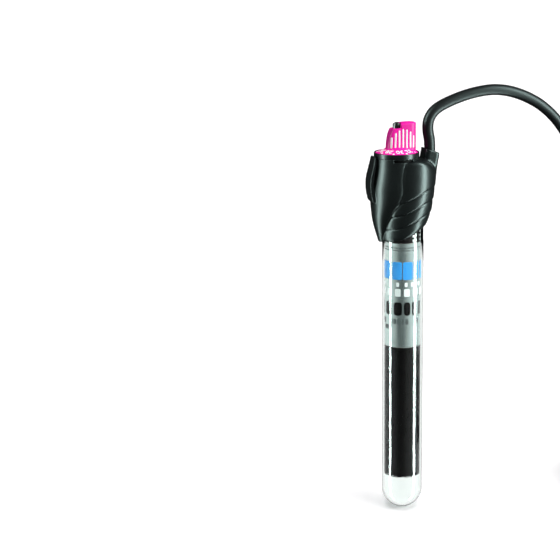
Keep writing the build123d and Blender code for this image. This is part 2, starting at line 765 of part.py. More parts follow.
def dial_knob():
    """The dial: a hub with a lug, a coned flange and a grip with one high end."""
    hub_low = WELL_FLOOR + HUB_GAP
    half = GRIP_THICK / 2
    left = GRIP_LOW_X - half
    step = CONE_TOP + STEP_HEIGHT
    top = CONE_TOP + GRIP_HEIGHT
    lug = sector(hub_low, 2.6, HUB_RADIUS - 0.5, HUB_RADIUS + LUG_REACH, 0.0, LUG_HALF)
    with BuildPart() as knob:
        with BuildSketch(DIAL_SIDE):
            Polygon(
                (SHAFT_HOLE, hub_low),
                (HUB_RADIUS, hub_low),
                (HUB_RADIUS, FLANGE_LOW),
                (DIAL_RADIUS, FLANGE_LOW),
                (DIAL_RADIUS, CONE_LOW),
                (CONE_TOP_RADIUS, CONE_TOP),
                (SHAFT_HOLE, CONE_TOP),
                align=None,
            )
        revolve(axis=DIAL_AXIS)
        with BuildSketch(level(CONE_LOW, DIAL_X + (GRIP_LOW_X + GRIP_HIGH_X) / 2)):
            SlotCenterToCenter(GRIP_HIGH_X - GRIP_LOW_X, GRIP_THICK)
        extrude(amount=top - CONE_LOW)
        # the low side is cut down to a step and sloped off
        with BuildSketch(DIAL_SIDE):
            Polygon(
                (left - 1, CONE_TOP - 0.6),
                (left, CONE_TOP - 0.6),
                (left + SLOPE_RUN, step),
                (STEP_X, step),
                (STEP_X, top + 1),
                (left - 1, top + 1),
                align=None,
            )
        extrude(amount=GRIP_THICK, both=True, mode=Mode.SUBTRACT)
        fillet(knob.faces().filter_by(Axis.Z).sort_by(Axis.Z)[-1].edges(), 0.7)
        with BuildSketch(level(CONE_LOW, DIAL_X)):
            Circle(SHAFT_HOLE)
        extrude(amount=step + 3.8 - CONE_LOW, mode=Mode.SUBTRACT)
        with BuildSketch(level(step - 1.0, DIAL_X)):
            Circle(SPINDLE_RADIUS + 0.5)
        extrude(amount=4.8, mode=Mode.SUBTRACT)
        add(lug)
    keep(knob, "dial_knob")


def grip_side(distance):
    """Where a mark stands on the grip's front: position and outward direction, by distance along it."""
    half = GRIP_THICK / 2
    flat = GRIP_HIGH_X - GRIP_LOW_X
    if distance < 0:
        angle, centre = distance / half, GRIP_LOW_X
    elif distance > flat:
        angle, centre = (distance - flat) / half, GRIP_HIGH_X
    else:
        return Vector(GRIP_LOW_X + distance, -half, 0), Vector(0, -1, 0)
    out = Vector(sin(angle), -cos(angle), 0)
    return Vector(centre, 0, 0) + out * half, out


def grip_stripes():
    """White ribs on both sides of the grip, with tops that follow an arch."""
    first = (GRIP_HIGH_X - GRIP_LOW_X - STRIPE_SPACING * (STRIPE_COUNT - 1)) / 2 - 0.1
    low = CONE_TOP + 0.4
    with BuildPart() as stripes:
        for index in range(STRIPE_COUNT):
            place, out = grip_side(first + STRIPE_SPACING * index)
            from_middle = index - (STRIPE_COUNT - 1) / 2
            height = STRIPE_TOP - 0.42 * from_middle**2 - 0.4
            for side in (1, -1):
                direction = Vector(out.X, out.Y * side, 0)
                origin = Vector(DIAL_X + place.X, place.Y * side, FLOOR + low)
                along = Vector(0, 0, 1).cross(direction)
                with BuildSketch(Plane(origin=origin + Vector(0, 0, height / 2), x_dir=along, z_dir=direction)):
                    SlotOverall(height, STRIPE_WIDTH, rotation=90)
                extrude(amount=STRIPE_THICK)
    keep(stripes, "grip_stripes")


# strokes of each digit, in a grid 2 wide and 4 high: (x, y, width, height)
STROKES = {
    "0": ((0, 2, 0, 4), (2, 2, 0, 4), (1, 0, 2, 0), (1, 4, 2, 0)),
    "2": ((1, 4, 2, 0), (2, 3, 0, 2), (1, 2, 2, 0), (0, 1, 0, 2), (1, 0, 2, 0)),
    "3": ((1, 4, 2, 0), (2, 2, 0, 4), (1, 2, 2, 0), (1, 0, 2, 0)),
    "4": ((0, 3, 0, 2), (2, 2, 0, 4), (1, 2, 2, 0)),
    "6": ((0, 2, 0, 4), (2, 1, 0, 2), (1, 0, 2, 0), (1, 2, 2, 0), (1, 4, 2, 0)),
    "8": ((0, 2, 0, 4), (2, 2, 0, 4), (1, 0, 2, 0), (1, 2, 2, 0), (1, 4, 2, 0)),
}


def dial_marks():
    """Numerals of the temperature scale, and dots between them, on the cone."""
    unit = NUMERAL_SIZE / 4.6
    with BuildPart() as marks:
        for index in range(NUMERAL_COUNT):
            number = str(FIRST_NUMERAL + 2 * index)
            with BuildSketch(on_cone(FIRST_ANGLE + NUMERAL_STEP * index, MARK_RADIUS)):
                for digit, start in zip(number, (-2.6 * 0.7, 0.6 * 0.7)):
                    for x, y, width, height in STROKES[digit]:
                        with Locations(((start + 0.7 * x) * unit, (y - 2) * unit)):
                            Rectangle((0.7 * width + 0.6) * unit, (height + 0.6) * unit)
            extrude(amount=MARK_THICK)
        for index in range(NUMERAL_COUNT + 1):
            with BuildSketch(on_cone(FIRST_ANGLE + NUMERAL_STEP * (index - 0.5), DOT_MARK_RADIUS)):
                Circle(DOT_RADIUS)
            extrude(amount=MARK_THICK)
    keep(marks, "dial_marks")


def on_cone(angle, radius):
    """A plane that lies on the dial's cone, with its x axis along the rim."""
    slope = atan2(CONE_RISE, DIAL_RADIUS - CONE_TOP_RADIUS)
    turn = radians(angle)
    out = Vector(cos(turn), sin(turn), 0)
    height = CONE_LOW + (DIAL_RADIUS - radius) * tan(slope) + 0.02
    origin = Vector(DIAL_X, 0, FLOOR + height) + out * radius
    normal = out * sin(slope) + Vector(0, 0, cos(slope))
    return Plane(origin=origin, x_dir=(-sin(turn), cos(turn), 0), z_dir=normal)


def spindle():
    """The adjusting spindle: a shaft through the stopper, threaded at its lower end, and its cap."""
    step = CONE_TOP + STEP_HEIGHT
    with BuildPart() as shaft:
        with BuildSketch(level(SCREW_LOW, DIAL_X)):
            Circle(SCREW_RADIUS)
        extrude(amount=SCREW_TOP - SCREW_LOW)
        with BuildSketch(level(SCREW_TOP, DIAL_X)):
            Circle(SPINDLE_RADIUS)
        extrude(amount=step - 1.2 - SCREW_TOP)
        with BuildSketch(level(step - 1.2, DIAL_X)):
            Circle(SPINDLE_TIP_RADIUS)
        extrude(amount=4.5)
    keep(shaft, "spindle")
    ring_piece("spindle_cap", SPINDLE_RADIUS + 0.4, SPINDLE_TIP_RADIUS + 0.05, step - 0.9, step + 3.2, DIAL_X)


# ---------------------------------------------------------------- hank and plug


def cord_hank():
    """The outer shape of the put-away cord: two end loops, drawn in at the tie."""
    near, far = HANK_X - HANK_ARM, HANK_X + HANK_ARM
    with BuildPart() as hank:
        with BuildSketch(level(0, HANK_X)):
            with Locations((-HANK_ARM, 0), (HANK_ARM, 0)):
                Circle(HANK_LOOP)
            Rectangle(2 * HANK_ARM, 2 * HANK_WAIST)
            with Locations((-HANK_ARM, 0), (HANK_ARM, 0)):
                Circle(HANK_LOOP * 0.4, mode=Mode.SUBTRACT)
        extrude(amount=HANK_LOW)
        with BuildSketch(level(HANK_LOW, near)):
            Circle(HANK_LOOP)
            Circle(HANK_LOOP * 0.4, mode=Mode.SUBTRACT)
            with Locations((far - near, 0)):
                Circle(HANK_LOOP + 6.0, mode=Mode.SUBTRACT)
        extrude(amount=HANK_HIGH - HANK_LOW)
    keep(hank, "cord_hank")


def hank_tie():
    """A strap round the waist of the hank."""
    gap = 0.1
    width, height = HANK_WAIST + gap, HANK_LOW + gap
    side = Plane(origin=(HANK_X - TIE_WIDTH / 2, 0, FLOOR), x_dir=(0, 1, 0), z_dir=(1, 0, 0))
    with BuildPart() as tie:
        with BuildSketch(side):
            with Locations((0, (height + TIE_THICK) / 2)):
                Rectangle(2 * (width + TIE_THICK), height + TIE_THICK)
            with Locations((0, height / 2 - 1)):
                Rectangle(2 * width, height + 2, mode=Mode.SUBTRACT)
        extrude(amount=TIE_WIDTH)
    keep(tie, "hank_tie")


def plug():
    """A generic flat two-pin plug, with its strain relief, lying on the hank."""
    entry = CORD_END[-1]
    middle = FLOOR + HANK_LOW + PLUG_LIFT + PLUG_THICK / 2
    body_x = entry[0] + 0.4 + RELIEF_LENGTH
    face_x = body_x + PLUG_LENGTH
    across = Plane(origin=(entry[0] + 0.4, 0, entry[2]), x_dir=(0, 1, 0), z_dir=(1, 0, 0))
    with BuildPart() as relief:
        with BuildSketch(across):
            Circle(CORD_RADIUS + 0.8)
        with BuildSketch(across.offset(RELIEF_LENGTH)):
            Circle(CORD_RADIUS + 2.2)
        loft()
    keep(relief, "plug_strain_relief")
    half, neck = PLUG_WIDTH / 2, PLUG_NECK / 2
    with BuildPart() as body:
        with BuildSketch(Plane(origin=(0, 0, middle - PLUG_THICK / 2), x_dir=(1, 0, 0), z_dir=UP)):
            Polygon(
                (body_x, -neck),
                (face_x - PLUG_STRAIGHT, -half),
                (face_x, -half),
                (face_x, half),
                (face_x - PLUG_STRAIGHT, half),
                (body_x, neck),
                align=None,
            )
        extrude(amount=PLUG_THICK)
        fillet(body.edges().filter_by(Axis.Z), 2.0)
        chamfer(body.faces().filter_by(Axis.Z).edges(), 1.0)
        with BuildSketch(Plane(origin=(face_x - PLUG_PIN_ROOT, 0, middle), x_dir=(0, 1, 0), z_dir=(1, 0, 0))):
            with GridLocations(PLUG_PIN_SPACING, 0, 2, 1):
                Circle(PLUG_PIN_RADIUS - PIN_NECK)
        extrude(amount=PLUG_PIN_ROOT, mode=Mode.SUBTRACT)
    keep(body, "plug_body")
    with BuildPart() as pins:
        with BuildSketch(Plane(origin=(face_x - PLUG_PIN_ROOT, 0, middle), x_dir=(0, 1, 0), z_dir=(1, 0, 0))):
            with GridLocations(PLUG_PIN_SPACING, 0, 2, 1):
                Circle(PLUG_PIN_RADIUS - PIN_NECK)
        extrude(amount=PLUG_PIN_ROOT)
        with BuildSketch(Plane(origin=(face_x, 0, middle), x_dir=(0, 1, 0), z_dir=(1, 0, 0))):
            with GridLocations(PLUG_PIN_SPACING, 0, 2, 1):
                Circle(PLUG_PIN_RADIUS)
        extrude(amount=PLUG_PIN_LENGTH)
        chamfer(pins.faces().sort_by(Axis.X)[-2:].edges(), 0.6)
    keep(pins, "plug_pins")


glass_tube()
ring_piece("element_sleeve", SLEEVE_RADIUS, SLEEVE_RADIUS - ELEMENT_WALL, ELEMENT_LOW, ELEMENT_TOP)
ring_piece("label_sleeve", SLEEVE_RADIUS, SLEEVE_RADIUS - LABEL_WALL, LABEL_LOW, LABEL_TOP)
spacer("lower_spacer", ELEMENT_LOW + 1.0)
spacer("upper_spacer", ELEMENT_TOP - STACK_GAP - SPACER_THICK)
element_core()
heating_winding()
lead_wires()
stopper()
seal_rings()
level_marks()
thermostat_frame()
contact_arm()
contact_button("moving_contact", ARM_Z)
contact_button("fixed_contact", ARM_Z - CONTACT_HEIGHT - CONTACT_GAP)
bimetal_strip()
adjusting_nut()
small_parts()
cord_cores()
head_cover()
collar_ring()
cord_entry()
dial_knob()
grip_stripes()
dial_marks()
spindle()
cord_along(CORD_ROUTE, "mains_cord")
cord_along(CORD_END, "mains_cord_end")
cord_hank()
hank_tie()
plug()
print("dial axis x", DIAL_X, "arm pivot x", FRAME_X - 1.9, "arm pivot z", FLOOR + ARM_Z + ARM_THICK / 2)
print("glass straight wall", GLASS_TOP - SKIRT_DROP - SKIRT_RADIUS * SKIRT_SLOPE - 1.4 - GLASS_RADIUS)
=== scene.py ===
"""Submersible aquarium heater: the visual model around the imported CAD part."""

from math import cos, pi, radians, sin, sqrt, tan

import bmesh
import bpy
import numpy as np
from mathutils import Matrix, Vector


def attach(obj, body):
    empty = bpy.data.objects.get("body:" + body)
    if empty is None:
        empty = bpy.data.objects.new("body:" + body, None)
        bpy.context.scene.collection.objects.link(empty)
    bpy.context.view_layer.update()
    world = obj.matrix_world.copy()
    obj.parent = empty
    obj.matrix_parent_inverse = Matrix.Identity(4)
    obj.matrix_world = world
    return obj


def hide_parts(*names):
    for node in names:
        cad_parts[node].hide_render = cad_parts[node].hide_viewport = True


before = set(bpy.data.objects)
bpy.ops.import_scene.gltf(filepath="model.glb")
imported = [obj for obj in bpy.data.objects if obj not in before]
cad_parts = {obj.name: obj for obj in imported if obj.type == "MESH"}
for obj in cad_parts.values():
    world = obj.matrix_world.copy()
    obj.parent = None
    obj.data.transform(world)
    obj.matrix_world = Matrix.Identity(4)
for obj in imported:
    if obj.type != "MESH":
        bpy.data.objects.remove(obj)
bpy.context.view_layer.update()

# Lengths below are millimetres. A height "h" is measured from the dome's lowest point.
MM = 0.001
LOW = -60.0  # where that point lies in the row frame
DIAL_X = -4.1  # the dial's axis
CORD_D = 6.4  # cord thickness
GLASS_R = 12.0
AHEAD_X, AHEAD_Y = 0.2563, 0.9666  # level heading of the camera


def mm(x, y, h):
    return Vector((x * MM, y * MM, (h + LOW) * MM))


# ------------------------------------------------------------------ materials


def material(name, color, rough, vary, scale, bump=0.0, bump_scale=2500.0, stretch=None, **sockets):
    """A Principled material whose colour and roughness vary a little with procedural noise."""
    m = bpy.data.materials.new(name)
    m.use_nodes = True
    nodes, links = m.node_tree.nodes, m.node_tree.links
    shader = nodes["Principled BSDF"]
    coord = nodes.new("ShaderNodeTexCoord")
    source = coord.outputs["Object"]
    if stretch:
        mapping = nodes.new("ShaderNodeMapping")
        mapping.inputs["Scale"].default_value = stretch
        links.new(source, mapping.inputs["Vector"])
        source = mapping.outputs["Vector"]
    noise = nodes.new("ShaderNodeTexNoise")
    noise.inputs["Scale"].default_value = scale
    noise.inputs["Detail"].default_value = 4.0
    links.new(source, noise.inputs["Vector"])
    ramp = nodes.new("ShaderNodeValToRGB")
    darker = [c * (1 - vary) for c in color]
    first, last = ramp.color_ramp.elements
    first.position = 0.3
    first.color = (*darker, 1)
    last.position = 0.7
    last.color = (*color, 1)
    links.new(noise.outputs["Fac"], ramp.inputs["Fac"])
    links.new(ramp.outputs["Color"], shader.inputs["Base Color"])
    spread = nodes.new("ShaderNodeMapRange")
    spread.inputs["To Min"].default_value = max(0.02, rough - 0.06)
    spread.inputs["To Max"].default_value = rough + 0.06
    links.new(noise.outputs["Fac"], spread.inputs["Value"])
    links.new(spread.outputs["Result"], shader.inputs["Roughness"])
    if bump:
        fine = nodes.new("ShaderNodeTexNoise")
        fine.inputs["Scale"].default_value = bump_scale
        fine.inputs["Detail"].default_value = 3.0
        links.new(source, fine.inputs["Vector"])
        relief = nodes.new("ShaderNodeBump")
        relief.inputs["Strength"].default_value = bump
        relief.inputs["Distance"].default_value = 0.0002
        links.new(fine.outputs["Fac"], relief.inputs["Height"])
        links.new(relief.outputs["Normal"], shader.inputs["Normal"])
    for key, value in sockets.items():
        shader.inputs[key.replace("_", " ")].default_value = value
    return m


BLACK = (0.0075, 0.010, 0.010)
COOL = (0.86, 1.0, 0.98, 1)  # the slightly green gloss of the black mouldings

HEAD = material(
    "head_plastic", BLACK, 0.34, 0.2, 900, bump=0.05, bump_scale=6000,
    Specular_Tint=COOL, Specular_IOR_Level=0.24,
)
COLLAR = material(
    "collar_plastic", BLACK, 0.3, 0.2, 900, bump=0.05, bump_scale=6000,
    Specular_Tint=COOL, Specular_IOR_Level=0.22,
)
MAGENTA = material(
    "dial_magenta_plastic", (0.86, 0.003, 0.36), 0.42, 0.05, 700, bump=0.05, bump_scale=5000,
    Specular_IOR_Level=0.14,
)
WHITE = material("print_white", (0.93, 0.93, 0.92), 0.45, 0.04, 1500)
CORD = material(
    "cord_jacket", (0.008, 0.009, 0.0095), 0.42, 0.3, 350, bump=0.12, bump_scale=1800, stretch=(1, 1, 0.3),
    Specular_Tint=COOL, Specular_IOR_Level=0.2,
)
RUBBER = material("rubber_black", (0.01, 0.01, 0.01), 0.6, 0.3, 800, bump=0.2, bump_scale=2500)
SLEEVE = material(
    "element_sleeve_black", (0.0016, 0.0016, 0.0018), 0.55, 0.3, 500, bump=0.1, bump_scale=3000,
    Specular_IOR_Level=0.03,
)
STOPPER = material("stopper_black", (0.0016, 0.0016, 0.0016), 0.5, 0.2, 500, Specular_IOR_Level=0.03)
FOIL = material("label_foil", (0.62, 0.71, 0.70), 0.22, 0.03, 260, stretch=(1, 1, 0.05), Metallic=0.95)
BLUE = material("label_blue", (0.055, 0.36, 0.86), 0.45, 0.08, 900, Specular_IOR_Level=0.1)
INK = material("label_ink", (0.0025, 0.0028, 0.003), 0.45, 0.2, 900, Specular_IOR_Level=0.03)
GREY = material("label_grey", (0.11, 0.13, 0.13), 0.45, 0.1, 900, Specular_IOR_Level=0.1)
PALE = material("label_white", (0.9, 0.92, 0.92), 0.4, 0.03, 900)
CERAMIC = material("former_ceramic_white", (0.84, 0.82, 0.76), 0.7, 0.08, 600, bump=0.2, bump_scale=3000)
WIRE = material("heater_wire_metal", (0.40, 0.38, 0.35), 0.35, 0.2, 1200, Metallic=1.0)
MOULDING = material("moulding_ivory", (0.74, 0.71, 0.62), 0.5, 0.06, 500, bump=0.08)
BRASS = material("contact_brass", (0.72, 0.52, 0.24), 0.3, 0.15, 900, Metallic=1.0)
STEEL = material("strip_steel", (0.52, 0.51, 0.49), 0.3, 0.12, 900, stretch=(0.1, 1, 1), Metallic=1.0)
CHROME = material("pin_nickel", (0.72, 0.72, 0.71), 0.16, 0.08, 900, stretch=(0.05, 1, 1), Metallic=1.0)
LAMP = material("lamp_glass", (0.95, 0.32, 0.06), 0.12, 0.1, 500, Transmission_Weight=0.4)
WIRES = material("core_insulation_blue", (0.05, 0.10, 0.35), 0.5, 0.2, 900)
TIE = material(
    "tie_fabric_black", (0.014, 0.014, 0.016), 0.75, 0.35, 1800, bump=0.5, bump_scale=3500, Sheen_Weight=0.2
)
CAP = material("spindle_cap_black", (0.006, 0.006, 0.0065), 0.3, 0.2, 900)


def glass():
    """Clear glass with a slow change of polish."""
    m = bpy.data.materials.new("tube_glass")
    m.use_nodes = True
    nodes, links = m.node_tree.nodes, m.node_tree.links
    shader = nodes["Principled BSDF"]
    shader.inputs["Base Color"].default_value = (0.95, 0.99, 0.975, 1)
    shader.inputs["Transmission Weight"].default_value = 1.0
    shader.inputs["IOR"].default_value = 1.42
    coord = nodes.new("ShaderNodeTexCoord")
    noise = nodes.new("ShaderNodeTexNoise")
    noise.inputs["Scale"].default_value = 60.0
    links.new(coord.outputs["Object"], noise.inputs["Vector"])
    spread = nodes.new("ShaderNodeMapRange")
    spread.inputs["To Min"].default_value = 0.0
    spread.inputs["To Max"].default_value = 0.03
    links.new(noise.outputs["Fac"], spread.inputs["Value"])
    links.new(spread.outputs["Result"], shader.inputs["Roughness"])
    return m


GLASS = glass()


# ------------------------------------------------------------------ mesh helpers


def make(name, verts, faces, mat, body="root", smooth=50.0, slot=None):
    """A mesh piece from points in millimetres (x, y, h)."""
    points = np.array(verts, float)
    points[:, 2] += LOW
    mesh = bpy.data.meshes.new(name)
    mesh.from_pydata((points * MM).tolist(), [], [tuple(map(int, f)) for f in faces])
    mesh.validate()
    mesh.polygons.foreach_set("use_smooth", [True] * len(mesh.polygons))
    if smooth:
        mesh.set_sharp_from_angle(angle=radians(smooth))
    obj = bpy.data.objects.new(name, mesh)
    bpy.context.scene.collection.objects.link(obj)
    mesh.materials.append(mat)
    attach(obj, body)
    return obj


def curve(t, ts, vs):
    """Smooth interpolation of a short table."""
    ts, vs = np.array(ts, float), np.array(vs, float)
    slope = np.gradient(vs, ts)
    t = np.clip(t, ts[0], ts[-1])
    i = np.clip(np.searchsorted(ts, t) - 1, 0, len(ts) - 2)
    w = ts[i + 1] - ts[i]
    s = (t - ts[i]) / w
    a, b = vs[i], vs[i + 1]
    ma, mb = slope[i] * w, slope[i + 1] * w
    return (
        (2 * s**3 - 3 * s**2 + 1) * a + (s**3 - 2 * s**2 + s) * ma
        + (3 * s**2 - 2 * s**3) * b + (s**3 - s**2) * mb
    )


def smin(a, b, k):
    """The smaller of two distances, blended over k."""
    h = np.maximum(k - np.abs(a - b), 0) / k
    return np.minimum(a, b) - h * h * k / 4


def smax(a, b, k):
    """The larger of two distances, blended over k."""
    return -smin(-a, -b, k)


def bell(t, width):
    """A bump that is 1 at zero and fades over a width."""
    return np.exp(-((t / width) ** 2))


def rounded(x, y, hx, hy, r):
    """Distance to a rectangle with round corners."""
    qx, qy = np.abs(x) - hx + r, np.abs(y) - hy + r
    return np.hypot(np.maximum(qx, 0), np.maximum(qy, 0)) + np.minimum(np.maximum(qx, qy), 0) - r


def skin(shape, low, high, step):
    """The zero surface of a field, as smooth quads: one point in each cell that the surface crosses."""
    axes = [np.arange(a, b + step, step) for a, b in zip(low, high)]
    grid = np.meshgrid(*axes, indexing="ij")
    field = shape(*grid)
    inside = field < 0
    counts = [len(a) - 1 for a in axes]
    # each cell's point is the mean of the places where its edges cross the surface
    total = np.zeros((*counts, 3), np.float32)
    hits = np.zeros(counts, np.float32)
    for axis in range(3):
        others = [a for a in range(3) if a != axis]
        for da in (0, 1):
            for db in (0, 1):
                start = [0, 0, 0]
                start[others[0]], start[others[1]] = da, db
                end = list(start)
                end[axis] = 1
                first = tuple(slice(s, s + n) for s, n in zip(start, counts))
                last = tuple(slice(s, s + n) for s, n in zip(end, counts))
                fa, fb = field[first], field[last]
                crossed = inside[first] != inside[last]
                t = np.where(crossed, fa / np.where(crossed, fa - fb, 1), 0)
                for a in range(3):
                    total[..., a] += np.where(crossed, t if a == axis else start[a], 0)
                hits += crossed
    active = hits > 0
    index = np.full(counts, -1, np.int64)
    index[active] = np.arange(active.sum())
    where = np.argwhere(active)
    points = (where + total[active] / hits[active][:, None]) * step + np.array(low)
    # each grid edge that crosses the surface joins the points of the four cells round it
    faces = []
    for axis in range(3):
        b, c = (axis + 1) % 3, (axis + 2) % 3
        here = [slice(1, -1)] * 3
        here[axis] = slice(0, -1)
        there = list(here)
        there[axis] = slice(1, None)
        one, two = inside[tuple(here)], inside[tuple(there)]
        cells = np.argwhere(one != two)
        flip = one[one != two]
        cells[:, b] += 1
        cells[:, c] += 1
        corner = []
        for db, dc in ((-1, -1), (0, -1), (0, 0), (-1, 0)):
            at = cells.copy()
            at[:, b] += db
            at[:, c] += dc
            corner.append(index[at[:, 0], at[:, 1], at[:, 2]])
        quad = np.stack(corner, 1)
        quad[~flip] = quad[~flip][:, ::-1]
        faces.append(quad)
    # the points then settle on the surface, in small moves along the field's slope
    e = step * 0.1
    for _ in range(3):
        x, y, z = points.T
        value = shape(x, y, z)
        slope = np.stack([
            shape(x + e, y, z) - shape(x - e, y, z),
            shape(x, y + e, z) - shape(x, y - e, z),
            shape(x, y, z + e) - shape(x, y, z - e),
        ], 1) / (2 * e)
        size = np.maximum((slope**2).sum(1), 0.2)
        move = slope * (value / size)[:, None]
        reach = np.linalg.norm(move, axis=1)
        points = points - move * np.minimum(1, 0.25 * step / np.maximum(reach, 1e-9))[:, None]
    return points, np.concatenate(faces)


def turned(profile, segments, centre=(0.0, 0.0), closed=True):
    """An outline (radius, height) turned about a vertical axis. A closed one ends where it starts."""
    n = len(profile)
    verts, faces = [], []
    for i in range(segments):
        a = 2 * pi * i / segments
        for r, h in profile:
            verts.append((centre[0] + r * cos(a), centre[1] + r * sin(a), h))
    for i in range(segments):
        j = (i + 1) % segments
        for k in range(n if closed else n - 1):
            q = (k + 1) % n
            faces.append((i * n + k, j * n + k, j * n + q, i * n + q))
    return verts, faces


def join_parts(parts):
    """One mesh from several lists of points and faces."""
    verts, faces = [], []
    for v, f in parts:
        base = len(verts)
        verts.extend(v)
        faces.extend(tuple(int(i) + base for i in face) for face in f)
    return verts, faces


def slab(rows, columns):
    """Faces of a thin closed slab of two layers, each a grid of rows by columns cells."""
    across = columns + 1
    layer = (rows + 1) * across
    faces = []
    for i in range(rows):
        for j in range(columns):
            a = i * across + j
            b, c, d = a + 1, a + across + 1, a + across
            faces += [(layer + a, layer + b, layer + c, layer + d), (d, c, b, a)]
    edge = list(range(across))
    edge += [i * across + columns for i in range(1, rows + 1)]
    edge += [rows * across + j for j in range(columns - 1, -1, -1)]
    edge += [i * across for i in range(rows - 1, 0, -1)]
    for a, b in zip(edge, edge[1:] + edge[:1]):
        faces.append((a, b, layer + b, layer + a))
    return faces


def patch(a0, a1, h0, h1, corner, radius=10.63, thick=0.05):
    """A thin printed patch on a cylinder, from two angles in degrees and two heights."""
    columns = max(2, int((a1 - a0) / 3))
    wide, high = radians(a1 - a0) * radius, h1 - h0
    corner = min(corner, wide / 2, high / 2)
    inset = corner * 0.3
    rows = [
        (0.0, corner), (inset, inset), (corner, 0.0),
        (high - corner, 0.0), (high - inset, inset), (high, corner),
    ]
    verts = []
    for layer in (0, thick):
        for h, cut in rows:
            for i in range(columns + 1):
                s = cut + (wide - 2 * cut) * i / columns
                a = radians(a0) + s / radius
                verts.append(((radius + layer) * cos(a), (radius + layer) * sin(a), h0 + h))
    return verts, slab(len(rows) - 1, columns)


# ------------------------------------------------------------------ camera


def place_camera():
    data = bpy.data.cameras.new("camera")
    cam = bpy.data.objects.new("camera", data)
    bpy.context.scene.collection.objects.link(cam)
    bpy.context.scene.camera = cam
    data.sensor_width = 36.0
    data.lens = 90.3471429
    data.clip_start, data.clip_end = 0.01, 50.0
    pitch, roll = radians(14.2), radians(1.0)
    ahead = Vector((AHEAD_X * cos(pitch), AHEAD_Y * cos(pitch), -sin(pitch))).normalized()
    right = ahead.cross(Vector((0, 0, 1))).normalized()
    up = right.cross(ahead)
    right, up = right * cos(roll) - up * sin(roll), up * cos(roll) + right * sin(roll)
    cam.matrix_world = Matrix((right, up, -ahead)).transposed().to_4x4()
    cam.location = mm(-273.6, -751.8, 344.0)


place_camera()

# ------------------------------------------------------------------ the cord, its hank and the plug

ROUTE = [
    (15.17, 0, 209.04), (16.8, 0, 218.9), (14.0, 0, 231.4), (17.5, 0, 239.2), (26.0, 0, 243.8),
    (41.0, 0, 248.6), (57.5, -0.5, 250.4), (74, -1, 245.9), (88.5, -2, 237), (100.5, -3.5, 222.5),
    (108.5, -6, 203.5), (112.5, -8, 178), (113.5, -10, 148), (112.8, -12, 115), (111.6, -15, 84),
    (110.6, -18.5, 56), (111.0, -22, 34), (115.0, -24.5, 17), (124, -26.2, 6.5), (137, -27.2, 3.2),
]
ROUTE_END = [(158.5, -12.5, 16.6), (166.0, -5.0, 18.8), (175.0, -0.8, 20.0), (183.0, 0.0, 20.0)]
HANK_X, HANK_ARM = 173.0, 30.5
LOOP_SWELL = 1.03  # the curve runs a little inside its control points
PLUG_H = 20.0  # height of the plug's axis
PLUG_X = 205.4  # where the plug's body starts
PIN_Y = 9.3


def hank_turns():
    """Control points of the put-away turns: laps round two loops, drawn in at the tie."""
    outer, inner, d = 26.2, 19.8, CORD_D
    lanes = [  # loop radius, height, distance from the middle at the tie
        (outer, 0.5 * d, 13.0),
        (inner, 0.5 * d, 5.6),
        (inner, 1.5 * d, 5.6),
        (outer, 1.5 * d, 13.0),
        (inner + 1, 2.5 * d, 5.6),
    ]
    first = radians(294)
    near, far = HANK_X - HANK_ARM, HANK_X + HANK_ARM
    points = [(near + LOOP_SWELL * outer * cos(first), LOOP_SWELL * outer * sin(first), d / 2)]
    for lap, ramp in enumerate((0.62, 0.40, 0.18, -0.08)):
        radius, z, waist = lanes[lap]
        next_radius, next_z, _ = lanes[lap + 1]
        points.append((HANK_X, -waist, z))
        for i in range(7):
            a = radians(-114 + 38 * i)
            points.append((far + LOOP_SWELL * radius * cos(a), LOOP_SWELL * radius * sin(a), z))
        points.append((HANK_X, waist, z))
        for i in range(7):
            t = min(1, max(0, (i / 6 - ramp) / 0.3))
            s = t * t * (3 - 2 * t)
            r, h = radius + (next_radius - radius) * s, z + (next_z - z) * s
            a = radians(66 + 38 * i)
            points.append((near + LOOP_SWELL * r * cos(a), LOOP_SWELL * r * sin(a), h))
    return points


def make_cord():
    data = bpy.data.curves.new("cord_flex", "CURVE")
    data.dimensions = "3D"
    data.bevel_depth = CORD_D / 2 * MM
    data.bevel_resolution = 6
    data.resolution_u = 10
    data.use_fill_caps = True
    points = ROUTE + hank_turns() + ROUTE_END
    line = data.splines.new("NURBS")
    line.points.add(len(points) - 1)
    for point, place in zip(line.points, points):
        point.co = (*mm(*place), 1)
    line.order_u = 3
    line.use_endpoint_u = True
    obj = bpy.data.objects.new("cord_flex", data)
    bpy.context.scene.collection.objects.link(obj)
    data.materials.append(CORD)
    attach(obj, "root")
    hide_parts("mains_cord", "mains_cord_end", "cord_hank")
    return obj


def tie_band():
    """A strap round the waist of the hank."""
    corner, wide, high, thick, chamfer = 3.0, 19.6, 13.9, 0.9, 0.4
    low = corner + 0.05
    corners = (
        (wide - corner, low, -90),
        (wide - corner, high - corner, 0),
        (-wide + corner, high - corner, 90),
        (-wide + corner, low, 180),
    )
    loop = []
    for cx, cz, a0 in corners:
        for i in range(9):
            a = radians(a0 + 90 * i / 8)
            loop.append((cx + corner * cos(a), cz + corner * sin(a), cos(a), sin(a)))
    x0, x1 = HANK_X - 3.0, HANK_X + 3.0
    section = (
        (x0, 0.0), (x0 + chamfer, thick * 0.5), (x1 - chamfer, thick * 0.5),
        (x1, 0.0), (x1 - chamfer, -thick * 0.5), (x0 + chamfer, -thick * 0.5),
    )
    count, sides = len(loop), len(section)
    verts = [(x, y + ny * out, max(0.02, z + nz * out)) for y, z, ny, nz in loop for x, out in section]
    faces = []
    for i in range(count):
        j = (i + 1) % count
        for k in range(sides):
            q = (k + 1) % sides
            faces.append((i * sides + k, i * sides + q, j * sides + q, j * sides + k))
    obj = make("hank_strap", verts, faces, TIE, slot="tie_black")
    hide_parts("hank_tie")
    return obj


